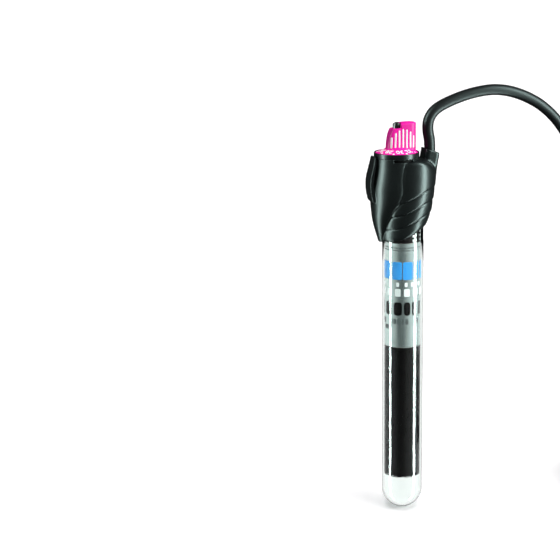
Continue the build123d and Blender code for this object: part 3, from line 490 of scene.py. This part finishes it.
def plug_relief():
    """The ribbed, tapered sleeve at the plug."""
    x0, x1, bore = 183.4, PLUG_X, 3.25
    count, segments = 56, 40
    ribs, first, last = 6, 0.08, 0.9
    rings = [(x0, bore), (x0, 3.8)]
    for i in range(1, count + 1):
        t = i / count
        r = 4.0 + 1.4 * t
        if first < t < last:
            r -= 0.55 * (0.5 + 0.5 * cos(2 * pi * (t - first) / 0.82 * ribs + pi)) ** 3
        rings.append((x0 + (x1 - x0) * t, r))
    rings.append((x1, bore))
    verts, faces = [], []
    for x, r in rings:
        for j in range(segments):
            a = 2 * pi * j / segments
            verts.append((x, r * cos(a), PLUG_H + r * sin(a)))
    for i in range(len(rings) - 1):
        here, there = i * segments, (i + 1) * segments
        for j in range(segments):
            k = (j + 1) % segments
            faces.append((here + j, here + k, there + k, there + j))
    faces.append(tuple(range(segments)))
    faces.append(tuple((len(rings) - 1) * segments + j for j in reversed(range(segments))))
    obj = make("plug_relief_sleeve", verts, faces, RUBBER, slot="cord_rubber")
    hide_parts("plug_strain_relief")
    return obj


def plug_field(x, y, h):
    """A flat moulded plug with finger grooves on both faces and a seam round its edge."""
    u, level = x - PLUG_X, h - PLUG_H
    half = curve(u, (-2, 0, 6, 14, 22, 28, 36), (6.0, 6.6, 9.5, 14.4, 17.1, 17.65, 17.65))
    side = (np.abs(y) - half) * 0.88
    plan = smax(smax(side, -u, 5.0), u - 34.0, 3.0)
    thick = np.abs(level) - (6.85 - 0.9 * np.clip((14 - u) / 14, 0, 1) ** 2)
    for groove in (9.0, 12.2, 15.4, 18.6):
        thick = thick + 0.5 * bell(u - groove, 0.75) * (np.abs(y) < half - 3.0)
    return smax(plan, thick, 4.0) + 0.22 * bell(level, 0.3)


def plug_shell():
    points, faces = skin(plug_field, (203.5, -19.5, 11.5), (241.5, 19.5, 28.5), 0.55)
    points[:, 0] = np.clip(points[:, 0], 205.45, 239.4)
    obj = make("plug_shell", points, faces, RUBBER, slot="cord_rubber")
    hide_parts("plug_body")
    return obj


def pin_pair(profile):
    """A turned outline laid along the plug, once for each pin."""
    verts, faces = turned(profile, 32)
    return join_parts([([(h, side * PIN_Y + x, PLUG_H + y) for x, y, h in verts], faces) for side in (-1, 1)])


def plug_contacts():
    """The two pins and the insulating sleeves round their roots."""
    pin = [(0.0, 239.0), (2.0, 239.0), (2.0, 256.6), (1.7, 257.6), (1.0, 258.2), (0.0, 258.35)]
    sleeve = [(2.0, 239.2), (2.02, 249.0), (1.9, 249.3), (1.7, 249.3), (1.7, 239.2)]
    pins = make("plug_contacts", *pin_pair(pin), CHROME, slot="pin_metal")
    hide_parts("plug_pins")
    cover = make("plug_contact_sleeves", *pin_pair(sleeve), RUBBER, slot="cord_rubber")
    return pins, cover


flex = make_cord()
strap = tie_band()
relief = plug_relief()
shell = plug_shell()
contacts, contact_sleeves = plug_contacts()

# ------------------------------------------------------------------ the head

BARREL = (  # height, middle along x, radius of the round part under the dial
    (160, -12.0, 1.5), (163, -11.9, 2.3), (166, -11.7, 3.4), (170, -11.3, 5.0), (175, -10.7, 7.0),
    (179.6, -9.6, 9.0), (184, -8.0, 11.0), (188, -6.5, 12.8), (192, -5.5, 13.9), (196.3, -5.0, 14.45),
    (203, -4.3, 14.0), (209, -4.12, 13.2), (215, -4.1, 12.7),
)
WRAP = (  # the same for the grooved part that wraps round it
    (160, 0.0, 13.95), (167, 0.0, 14.0), (172, 0.0, 14.0), (176, 0.1, 14.1), (180.3, 0.8, 14.9),
    (185, 1.35, 15.5), (189, 1.7, 15.8), (194, 2.1, 16.05), (199, 2.4, 16.2), (205, 2.9, 15.7),
    (209, 3.3, 15.0), (214, 3.8, 14.2),
)
EDGE_X = (-16, -14, -11.4, -8, -3.5, 1.6, 6.0, 10.0, 14, 18)  # the skirt's lower edge
EDGE_H = (164.9, 165.2, 165.9, 166.6, 168.0, 170.4, 172.6, 174.0, 174.6, 174.8)
GROOVES = (7.6, 14.9, 22.0)  # heights of the grooves above that edge
HEAD_TOP = 214.2
BOSS_X, BOSS_H = 16.5, 217.0
BOSS_LEAN, BOSS_TILT = radians(9.5), radians(20.0)
TONGUE_H = (188, 191, 195, 198, 201, 204, 207.6, 211, 215.6)
TONGUE_X = (-18.4, -19.3, -20.1, -20.35, -20.3, -19.9, -19.1, -18.45, -17.95)
WELL_FLOOR = 207.0


def stack(x, y, h, rows):
    """Distance to a round body whose middle and radius change with height."""
    heights, middles, radii = zip(*rows)
    return np.hypot(x - curve(h, heights, middles), y) - curve(h, heights, radii)


def wrap_shape(x, y, h, above):
    """The grooved wrap, which draws in at the skirt's edge and slopes down from the boss."""
    wrap = stack(x, y, h, WRAP)
    fade = np.clip((x + 13.5) / 2.0, 0, 1)
    for groove in GROOVES:
        below = groove - above
        step = np.where(below > 0, 0.5 * np.exp(-below / 2.6), 0.5 * np.exp(below / 0.25))
        cut = 0.38 * bell(below - 0.25, 0.38)
        wrap = wrap + (step + cut) * fade
    wrap = smax(wrap, (np.hypot(x, y) - 13.05 - np.maximum(above, 0) * 0.62) * 0.85, 0.8)
    slope = (h - (213.9 - 0.60 * (x - 9.0))) * 0.857
    return smax(smax(wrap, slope, 4.5), h - 213.2, 3.0)


def tongue_shape(x, y, h):
    """The finger tongue on the barrel's side."""
    wide = curve(h, (188, 198, 211, 216), (5.4, 5.2, 4.7, 3.6))
    thick = curve(h, (188, 205, 211, 216), (0.97, 0.95, 0.75, 0.45))
    leaf = rounded(x - curve(h, TONGUE_H, TONGUE_X), y, thick, 5.2, 0.44)
    leaf = smax(leaf, np.abs(y) - wide, 0.8)
    return smax(smax(leaf, h - 215.6, 1.2), 189.0 - h, 1.0)


def head_shape(x, y, h):
    """The whole head cover: barrel, wrap, boss and tongue, with its hollows."""
    dial_r = np.hypot(x - DIAL_X, y)
    above = h - curve(x, EDGE_X, EDGE_H)
    barrel = smax(stack(x, y, h, BARREL), 162.5 - h, 1.0)
    wrap = wrap_shape(x, y, h, above)
    # the two meet in a soft valley
    body = smin(barrel, wrap, 0.6) + 0.3 * bell(barrel - wrap, 0.35)
    body = smax(body, h - HEAD_TOP, 0.5)
    body = smax(body, -above * 0.93, 0.9)
    # boss for the cord, in its own leaning directions: across and along
    across = (x - BOSS_X) * cos(BOSS_LEAN) - (h - BOSS_H) * sin(BOSS_LEAN)
    along = (x - BOSS_X) * sin(BOSS_LEAN) + (h - BOSS_H) * cos(BOSS_LEAN)
    boss = rounded(across, y, 4.5, 5.5, 2.6)
    boss = smax(boss, (x - BOSS_X) * sin(BOSS_TILT) + (h - BOSS_H) * cos(BOSS_TILT), 0.7)
    boss = smax(boss, -(along + 27.0), 2.0)
    body = smin(body, boss, 1.6)
    body = smin(body, tongue_shape(x, y, h), 0.8)
    # hollows: for the tube, the dial, the spindle and the cord, and a blind slot under the collar
    bore = smax(np.hypot(x, y) - 12.35, h - 204.5, 0.3)
    well = smax(dial_r - 11.2, WELL_FLOOR - h, 0.3)
    hole = dial_r - 2.05
    mouth = smax(rounded(across, y, 3.7, 4.7, 1.9), -(along + 13.1), 0.3)
    passage = smax(np.hypot(across, y) - 3.6, -(along + 19.7), 0.3)
    slot = np.maximum(rounded(x - DIAL_X, h - 213.1, 5.6, 0.72, 0.5), y + 5.0)
    slot = np.maximum(slot, 12.15 - dial_r)
    hollow = np.minimum(np.minimum(bore, well), np.minimum(hole, mouth))
    hollow = np.minimum(np.minimum(hollow, passage), slot)
    body = smax(body, -hollow, 0.35)
    # the stop in the dial's well
    turn = np.arctan2(y, x - DIAL_X)
    away = np.abs((turn - radians(168.0) + pi) % (2 * pi) - pi)
    block = np.maximum((away - radians(30.0)) * 8.0, np.abs(h - 210.2) - 3.4)
    stop = np.maximum(np.maximum(7.05 - dial_r, dial_r - 11.6), block)
    return np.minimum(body, stop)


def make_head():
    step = 0.42
    points, faces = skin(head_shape, (-23.5, -17.6, 162.5), (23.0, 17.6, 222.0), step)
    obj = make("head_shell", points, faces, HEAD, smooth=0, slot="head_black")
    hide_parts("head_cover")


def make_slot_painted_shade():
    """Painted shade: a black patch in the bottom of the slot under the collar, where the shallow recess alone
    would not fall dark.
    """
    verts, faces = patch(-116, -64, 212.45, 213.75, radius=12.18, thick=0.1, corner=0.4)
    make("slot_painted_shade", [(x + DIAL_X, y, h) for x, y, h in verts], faces, STOPPER, slot="head_black")


def make_collar():
    outline = [
        (11.3, 214.9), (12.4, 214.9), (12.5, 215.0), (12.5, 216.8), (12.6, 217.05), (12.75, 217.1),
        (12.92, 216.95), (13.0, 216.6), (13.0, 214.7), (12.95, 214.35), (12.75, 214.2), (11.3, 214.2),
    ]
    verts, faces = turned(outline, 128, (DIAL_X, 0))
    obj = make("collar_bezel", verts, faces, COLLAR, smooth=40, slot="head_black")
    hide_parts("collar_ring")


# ------------------------------------------------------------------ the dial

DIAL_R = 12.2
CONE_FOOT, CONE_RISE, CONE_SLOPE = 216.8, 2.8, 0.368
GRIP_MID, GRIP_REACH, GRIP_ROUND = 2.45, 8.95, 3.7  # the grip's plan, from the dial's axis
GRIP_HALF = 4.0  # half its thickness in the middle
RIB_HALF = 0.5


def grip_half(u):
    """Half the grip's thickness, at a distance along it."""
    return GRIP_HALF - 0.006 * (u - 2.4) ** 2


def grip_shape(x, y, h):
    """The dial, by distance from its own axis."""
    u = x - DIAL_X
    r = np.hypot(u, y)
    cone = (h - CONE_FOOT - np.minimum(CONE_RISE, (DIAL_R - r) * CONE_SLOPE)) * 0.94
    flange = smax(np.maximum(r - DIAL_R, 215.1 - h), cone, 0.35)
    hub = np.maximum(np.maximum(r - 6.0, 207.4 - h), h - 216.0)
    lug = np.maximum(np.abs(np.arctan2(y, u)) * 8 - radians(8) * 8, r - 9.6)
    lug = np.maximum(lug, np.maximum(np.abs(h - 208.7) - 1.3, 5.5 - r))
    # the grip: a blade with a sloping left end, low under the cap and high on the other side
    plan = rounded(u - GRIP_MID, y * GRIP_HALF / grip_half(u), GRIP_REACH, GRIP_HALF, GRIP_ROUND)
    left = curve(h, (214, 219, 222, 226, 229, 230.9, 236), (-6.9, -6.5, -6.1, -5.1, -3.95, -2.8, 0.0)) - u
    blade = smax(plan, left * 0.93, 0.8)
    low_part = smax(smax(blade, h - 230.7, 0.5), u - 3.0, 0.3)
    top = h - (233.85 - 0.010 * (u - 7.6) ** 2)
    high_part = smax(smax(blade, 1.35 - u, 0.5), top, 1.1)
    blade = np.maximum(np.minimum(low_part, high_part), 216.0 - h)
    knob = np.minimum(smin(flange, blade, 0.9), np.minimum(hub, lug))
    bore = np.maximum(r - 2.05, h - 232)
    pocket = np.maximum(r - 2.5, np.abs(h - 231.8) - 2.0)
    return np.maximum(knob, -np.minimum(bore, pocket))


def make_dial():
    step = 0.3
    points, faces = skin(grip_shape, (-17.0, -12.8, 206.8), (9.0, 12.8, 236.0), step)
    obj = make("dial_grip", points, faces, MAGENTA, body="dial", smooth=0, slot="dial_magenta")
    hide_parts("dial_knob")


def blade_side(u):
    """How far the grip's side stands from its middle plane, at a distance along it."""
    past = max(0.0, abs(u - GRIP_MID) - (GRIP_REACH - GRIP_ROUND))
    return grip_half(u) - (GRIP_ROUND - sqrt(max(0.0, GRIP_ROUND**2 - min(past, 3.65) ** 2)))


def rib_width(h, bottom, top):
    """Half the width of a rib with round ends."""
    from_end = min(h - bottom, top - h)
    short = max(0.0, RIB_HALF - from_end) / RIB_HALF
    return max(RIB_HALF * sqrt(max(0.0, 1 - short**2)), 0.04)


def rib_lean(k, rise):
    """How far a rib has leaned along the grip after a rise; the first two follow its sloping end."""
    return -0.28 + 0.45 * (rise / 11.0) if k < 2 else -0.05 * rise / 11.0


def make_stripes():
    """White ribs that follow the grip's two sides, arched at their tops."""
    ribs, rows, columns = 7, 22, 6
    parts = []
    for k in range(ribs):
        centre = -4.1 + 2.22 * k
        if k == ribs - 1:
            centre -= 0.2
        top = 230.5 - 0.50 * abs(k - 3.1) ** 1.95
        bottom = 219.1 + 0.03 * (k - 3) ** 2
        for side in (-1, 1):
            verts = []
            for outer in (False, True):
                for i in range(rows + 1):
                    h = bottom + (top - bottom) * (i / rows)
                    half = rib_width(h, bottom, top)
                    for j in range(columns + 1):
                        part = 2 * j / columns - 1
                        u = centre + rib_lean(k, h - bottom) + half * part
                        stand = 0.17 * (1 - part**4) + 0.02 if outer else -0.3
                        verts.append((DIAL_X + u, side * (blade_side(u) + stand), h))
            faces = slab(rows, columns)
            parts.append((verts, faces if side < 0 else [f[::-1] for f in faces]))
    obj = make("grip_ribs", *join_parts(parts), WHITE, body="dial", smooth=45, slot="marking_white")
    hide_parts("grip_stripes")


def text_mesh(text, size):
    """Points and faces of a short text, flat and centred, from the built-in typeface."""
    data = bpy.data.curves.new("figure", "FONT")
    data.body = text
    data.size = size
    data.align_x = "CENTER"
    data.align_y = "CENTER"
    data.extrude = 0.09
    data.offset = 0.07
    data.resolution_u = 3
    obj = bpy.data.objects.new("figure", data)
    bpy.context.scene.collection.objects.link(obj)
    mesh = bpy.data.meshes.new_from_object(obj.evaluated_get(bpy.context.evaluated_depsgraph_get()))
    verts = np.array([v.co[:] for v in mesh.vertices])
    faces = [tuple(p.vertices) for p in mesh.polygons]
    bpy.data.objects.remove(obj)
    bpy.data.meshes.remove(mesh)
    verts[:, :2] -= (verts[:, :2].max(0) + verts[:, :2].min(0)) / 2
    return verts, faces


def on_cone(x, y, lift, angle, radius):
    """A point of a mark laid on the dial's cone."""
    r = radius + y * 0.938
    a = radians(angle) + x / max(r, 3.0)
    level = CONE_FOOT + min(CONE_RISE, (DIAL_R - r) * CONE_SLOPE)
    return (DIAL_X + r * cos(a), r * sin(a), level + lift)


def make_figures():
    """A plain run of even numbers with a dot between each two."""
    parts = []
    for index in range(7):
        verts, faces = text_mesh(str(20 + 2 * index), 4.6)
        angle = 62.0 + 40.0 * index
        # tops point outwards, so the text runs clockwise
        placed = [on_cone(-x, y, z + 0.06, angle, 9.0) for x, y, z in verts]
        parts.append((placed, [f[::-1] for f in faces]))
    dot = [(0.0, -0.05), (0.62, -0.05), (0.62, 0.12), (0.4, 0.16), (0.0, 0.16)]
    for index in range(8):
        angle = 42.0 + 40.0 * index
        verts, faces = turned(dot, 20, closed=False)
        parts.append(([on_cone(x, y, z, angle, 11.0) for x, y, z in verts], faces))
    obj = make("dial_figures", *join_parts(parts), WHITE, body="dial", smooth=40, slot="marking_white")
    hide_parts("dial_marks")


def make_cap():
    """The black cap in the grip's step."""
    outline = [
        (1.25, 229.9), (2.25, 229.9), (2.3, 230.1), (2.3, 233.0),
        (2.1, 233.35), (1.7, 233.4), (1.45, 233.1), (1.25, 233.1),
    ]
    verts, faces = turned(outline, 48, (DIAL_X, 0))
    obj = make("spindle_top", verts, faces, CAP, body="dial", smooth=40, slot="head_black")
    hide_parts("spindle_cap")


make_head()
make_collar()
make_dial()
make_stripes()
make_figures()
make_cap()

# ------------------------------------------------------------------ the glass and the label behind it

LABEL_FRONT = -110.0  # degrees; the side of the label that faces the viewer
MARK_R = 10.62
COAT_R, COAT_BORE, COAT_TOP = 10.6, 9.85, 102.65
# plain blocks in place of printing: look, low and high edge, corner, and angles from the label's front
LABEL_ROWS = (
    ("fine", 162.25, 162.75, 0.05, ((-88, -30), (-26, 10), (14, 60), (66, 90))),
    ("fine", 160.7, 161.25, 0.05, ((-84, -36), (-30, 22), (30, 44), (64, 84))),
    ("blue", 143.8, 154.3, 0.9, ((-92, -38), (-33, -2), (0.5, 31), (36, 52), (58, 92))),
    ("pale", 139.6, 142.2, 0.4, [(a, a + 9) for a in (-70, -44, -20, 6, 26, 50)]),
    ("pale", 133.8, 138.4, 0.6, [(a, a + 18) for a in (-78, -52, -24, 4, 32, 58)]),
    ("dark", 122.3, 130.4, 1.6, ((-78, -70), (-58, -34), (-28, -2), (4, 24), (30, 40), (56, 62))),
    ("fine", 117.0, 120.3, 0.5, ((-70, -60), (-40, -32), (-29, -20), (-17, -8), (-3, 4), (9, 18), (42, 52))),
    ("fine", 113.6, 116.2, 0.5, ((-62, -46),)),
)


def weld(obj):
    """Closes the seams of a turned mesh at its axis."""
    bm = bmesh.new()
    bm.from_mesh(obj.data)
    bmesh.ops.remove_doubles(bm, verts=bm.verts, dist=1e-6)
    bmesh.ops.recalc_face_normals(bm, faces=bm.faces)
    bm.to_mesh(obj.data)
    bm.free()


def make_glass():
    outer, inner = [], []
    for i in range(17):
        a = radians(90 * i / 16)
        outer.append((GLASS_R * sin(a), GLASS_R - GLASS_R * cos(a)))
        wall = 1.2 + 0.15 * cos(a) ** 2
        inner.append(((GLASS_R - wall) * sin(a), GLASS_R - (GLASS_R - wall) * cos(a)))
    outer[0] = (0.0, 0.0)
    inner[0] = (0.0, inner[0][1])
    side = [(GLASS_R, h) for h in np.linspace(20, 164.6, 12)]
    neck = [(11.9, 164.9), (11.8, 165.1), (11.8, 195.7), (11.5, 196.0), (11.1, 196.0), (10.8, 195.7)]
    back = [(10.8, h) for h in np.linspace(190, 20, 12)]
    verts, faces = turned(outer + side + neck + back + inner[::-1], 128, closed=False)
    obj = make("tube_wall", verts, faces, GLASS, smooth=60, slot="clear_glass")
    weld(obj)
    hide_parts("glass_tube")


def make_label_print():
    pieces = (
        ("blue", "label_blue_blocks", BLUE), ("dark", "label_dark_bars", INK),
        ("fine", "label_fine_marks", GREY), ("pale", "label_pale_blocks", PALE),
    )
    for wanted, name, look in pieces:
        blocks = [
            patch(LABEL_FRONT + a0, LABEL_FRONT + a1, low, high, corner=corner)
            for kind, low, high, corner, angles in LABEL_ROWS if kind == wanted for a0, a1 in angles
        ]
        make(name, *join_parts(blocks), look, slot="label_film")


def make_level_bars():
    parts = []
    for row in range(4):
        h = 166.05 + 2.45 * row
        for a0, a1 in ((-80, -71), (-50, -26)):
            parts.append(patch(a0, a1, h, h + 1.2, radius=MARK_R, thick=0.1, corner=0.2))
    obj = make("level_bars", *join_parts(parts), PALE, slot="marking_white")
    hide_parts("level_marks")


def make_sleeve():
    """The element's black coat, with a slightly uneven lower edge and pale flecks along it."""
    rng = np.random.default_rng(5)
    count = 160
    wave = np.cumsum(rng.normal(0, 0.05, count))
    wave -= np.linspace(0, wave[-1], count)
    ragged = 21.9 + 0.12 * np.sin(np.arange(count) * 0.35) + 0.5 * (wave - wave.mean())
    ragged = ragged + rng.uniform(-0.05, 0.08, count)
    ragged = np.clip(ragged, 21.72, 22.4)
    verts, faces = [], []
    for i in range(count):
        a = 2 * pi * i / count
        outline = (
            (COAT_BORE, ragged[i] + 0.1), (10.2, ragged[i]), (10.58, ragged[i] + 0.08), (COAT_R, 23.2),
            (COAT_R, 60.0), (COAT_R, 102.5), (10.4, COAT_TOP), (COAT_BORE, COAT_TOP), (COAT_BORE, 60.0),
        )
        verts.extend((r * cos(a), r * sin(a), h) for r, h in outline)
    sides = len(outline)
    for i in range(count):
        j = (i + 1) % count
        for k in range(sides):
            q = (k + 1) % sides
            faces.append((i * sides + k, j * sides + k, j * sides + q, i * sides + q))
    obj = make("element_coat", verts, faces, SLEEVE, smooth=50, slot="sleeve_black")
    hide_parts("element_sleeve")
    flecks = []
    for i in range(26):
        start = 360.0 * i / 26 + rng.uniform(-5, 5)
        end = start + rng.uniform(2.5, 6)
        low = 22.1 + rng.uniform(0, 0.15)
        high = 22.5 + rng.uniform(0.0, 0.25)
        flecks.append(patch(start, end, low, high, radius=10.61, thick=0.03, corner=0.15))
    make("sleeve_edge_flecks", *join_parts(flecks), PALE, slot="sleeve_black")


make_slot_painted_shade()
make_glass()
make_label_print()
make_level_bars()
make_sleeve()

# the pieces that keep their CAD shape
LOOKS = {
    "label_sleeve": FOIL, "lower_spacer": CERAMIC, "upper_spacer": CERAMIC, "element_core": CERAMIC,
    "heating_winding": WIRE, "lead_wires": WIRES, "tube_stopper": STOPPER, "tube_seal_rings": RUBBER,
    "spindle_seal_ring": RUBBER, "thermostat_frame": MOULDING, "arm_pin": STEEL, "contact_arm": STEEL,
    "moving_contact": BRASS, "fixed_contact": BRASS, "bimetal_strip": STEEL, "adjusting_nut": BRASS,
    "pilot_lamp": LAMP, "lamp_resistor": CERAMIC, "thermal_fuse": MOULDING, "terminal_tabs": BRASS,
    "cord_cores": WIRES, "cord_gland": RUBBER, "cord_tail": CORD, "cord_ferrule": STEEL, "spindle": CAP,
}
for node, look in LOOKS.items():
    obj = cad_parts[node]
    if not obj.material_slots:
        obj.data.materials.append(look)
    for place in obj.material_slots:
        place.material = look

# ------------------------------------------------------------------ floor and light

MIRRORED = 0.03  # strength of the surroundings in reflections
ON_MATTE = 0.26  # and as light on matte surfaces
THROUGH_TURN = radians(-13)  # the dim side of what glass shows, turned from the viewer's side
THROUGH_LIFT = 1.08
THROUGH_STOPS = (
    (0.0, 1.0), (0.5, 0.96), (0.67, 0.84), (0.80, 0.62), (0.91, 0.42), (0.965, 0.17), (1.0, 0.06),
)
TOWARD = Vector((-0.342, -0.940, 0))  # from the heater to the camera, level
RIGHT = Vector((0.940, -0.342, 0))
UP = Vector((0, 0, 1))


def make_floor():
    verts = [(-9000, -9000, 0), (9000, -9000, 0), (9000, 9000, 0), (-9000, 9000, 0)]
    mesh = bpy.data.meshes.new("floor")
    mesh.from_pydata([mm(*v) for v in verts], [], [(0, 1, 2, 3)])
    floor = bpy.data.objects.new("floor", mesh)
    bpy.context.scene.collection.objects.link(floor)
    m = bpy.data.materials.new("floor_white")
    m.use_nodes = True
    shader = m.node_tree.nodes["Principled BSDF"]
    shader.inputs["Base Color"].default_value = (0.93, 0.92, 0.93, 1)
    shader.inputs["Roughness"].default_value = 0.9
    shader.inputs["Specular IOR Level"].default_value = 0.0
    shader.inputs["Emission Color"].default_value = (1, 1, 1, 1)
    shader.inputs["Emission Strength"].default_value = 0.02
    mesh.materials.append(m)
    floor.visible_glossy = False
    floor.visible_diffuse = False
    floor.visible_transmission = False


def make_world():
    """White to the camera, dim in mirrors and on matte surfaces, and graded round the object through glass."""
    world = bpy.data.worlds.new("studio")
    bpy.context.scene.world = world
    world.use_nodes = True
    nodes, links = world.node_tree.nodes, world.node_tree.links
    path = nodes.new("ShaderNodeLightPath")

    def combine(operation, first, second):
        node = nodes.new("ShaderNodeMath")
        node.operation = operation
        links.new(first, node.inputs[0])
        if isinstance(second, float):
            node.inputs[1].default_value = second
        else:
            links.new(second, node.inputs[1])
        return node.outputs["Value"]

    def dimmed(kind, strength):
        """1 for most rays, and the given strength for one kind."""
        node = nodes.new("ShaderNodeMapRange")
        links.new(kind, node.inputs["Value"])
        node.inputs["To Min"].default_value = 1.0
        node.inputs["To Max"].default_value = strength
        return node.outputs["Result"]

    # rays that pass through glass count as glossy too, so they are taken out
    mirror = combine("SUBTRACT", path.outputs["Is Glossy Ray"], path.outputs["Is Transmission Ray"])
    strength = combine("MULTIPLY", dimmed(mirror, MIRRORED), dimmed(path.outputs["Is Diffuse Ray"], ON_MATTE))
    # through glass: dim from the viewer's side, bright from the sides and the back
    coord = nodes.new("ShaderNodeTexCoord")
    dot = nodes.new("ShaderNodeVectorMath")
    dot.operation = "DOT_PRODUCT"
    c, s = cos(THROUGH_TURN), sin(THROUGH_TURN)
    dot.inputs[1].default_value = (-AHEAD_X * c + AHEAD_Y * s, -AHEAD_Y * c - AHEAD_X * s, 0)
    links.new(coord.outputs["Generated"], dot.inputs[0])
    span = nodes.new("ShaderNodeMapRange")
    span.inputs["From Min"].default_value = -0.956
    span.inputs["From Max"].default_value = 0.956
    links.new(dot.outputs["Value"], span.inputs["Value"])
    ramp = nodes.new("ShaderNodeValToRGB")
    elements = ramp.color_ramp.elements
    for at, _ in THROUGH_STOPS[1:-1]:
        elements.new(at)
    for element, (at, value) in zip(elements, THROUGH_STOPS):
        element.color = (value, value, value, 1)
    links.new(span.outputs["Result"], ramp.inputs["Fac"])
    through = nodes.new("ShaderNodeMix")
    through.inputs["A"].default_value = 1.0
    links.new(path.outputs["Is Transmission Ray"], through.inputs["Factor"])
    links.new(ramp.outputs["Color"], through.inputs["B"])
    lifted = combine("MULTIPLY", through.outputs["Result"], THROUGH_LIFT)
    back = nodes["Background"]
    back.inputs["Color"].default_value = (1, 1, 1, 1)
    links.new(combine("MULTIPLY", strength, lifted), back.inputs["Strength"])


def lamp(name, kind, energy, color=(1, 1, 1)):
    """A light that can't be seen itself, directly or through glass."""
    data = bpy.data.lights.new(name, kind)
    data.energy = energy
    data.color = color
    obj = bpy.data.objects.new(name, data)
    bpy.context.scene.collection.objects.link(obj)
    obj.visible_camera = False
    obj.visible_transmission = False
    obj.rotation_mode = "QUATERNION"
    return obj


def sun(name, energy, spread, direction):
    """A soft sun that shines from a direction and shows in no reflection."""
    obj = lamp(name, "SUN", energy)
    obj.data.angle = radians(spread)
    obj.rotation_quaternion = direction.to_track_quat("Z", "Y")
    obj.visible_glossy = False
    return obj


def strip(name, turn, width, energy, color):
    """A tall strip at an angle from the viewer's side, which only mirrors in the glass and the head."""
    distance = 320.0
    obj = lamp(name, "AREA", energy, color)
    a = radians(turn)
    facing = TOWARD * cos(a) + RIGHT * sin(a)
    obj.data.shape = "RECTANGLE"
    obj.data.size = 2 * distance * tan(radians(width / 2)) * MM
    obj.data.size_y = 1.2
    place = Matrix.Translation(facing * distance * MM + Vector((0, 0, -0.02)))
    obj.matrix_world = place @ Matrix((UP.cross(facing), UP, facing)).transposed().to_4x4()
    obj.visible_diffuse = False


make_floor()
make_world()
key = sun("key", 3.1, 50, (RIGHT * 0.80 + TOWARD * 0.42 + UP * 0.45).normalized())
key.data.use_shadow = False
sun("top", 2.0, 56, Vector((0.02, 0.04, 1)))
strip("strip_left", -71.0, 15.0, 11.0, (0.86, 1.0, 0.97))
strip("strip_right", 73.0, 17.0, 14.0, (0.86, 1.0, 0.98))
bpy.context.scene.view_settings.view_transform = "Standard"
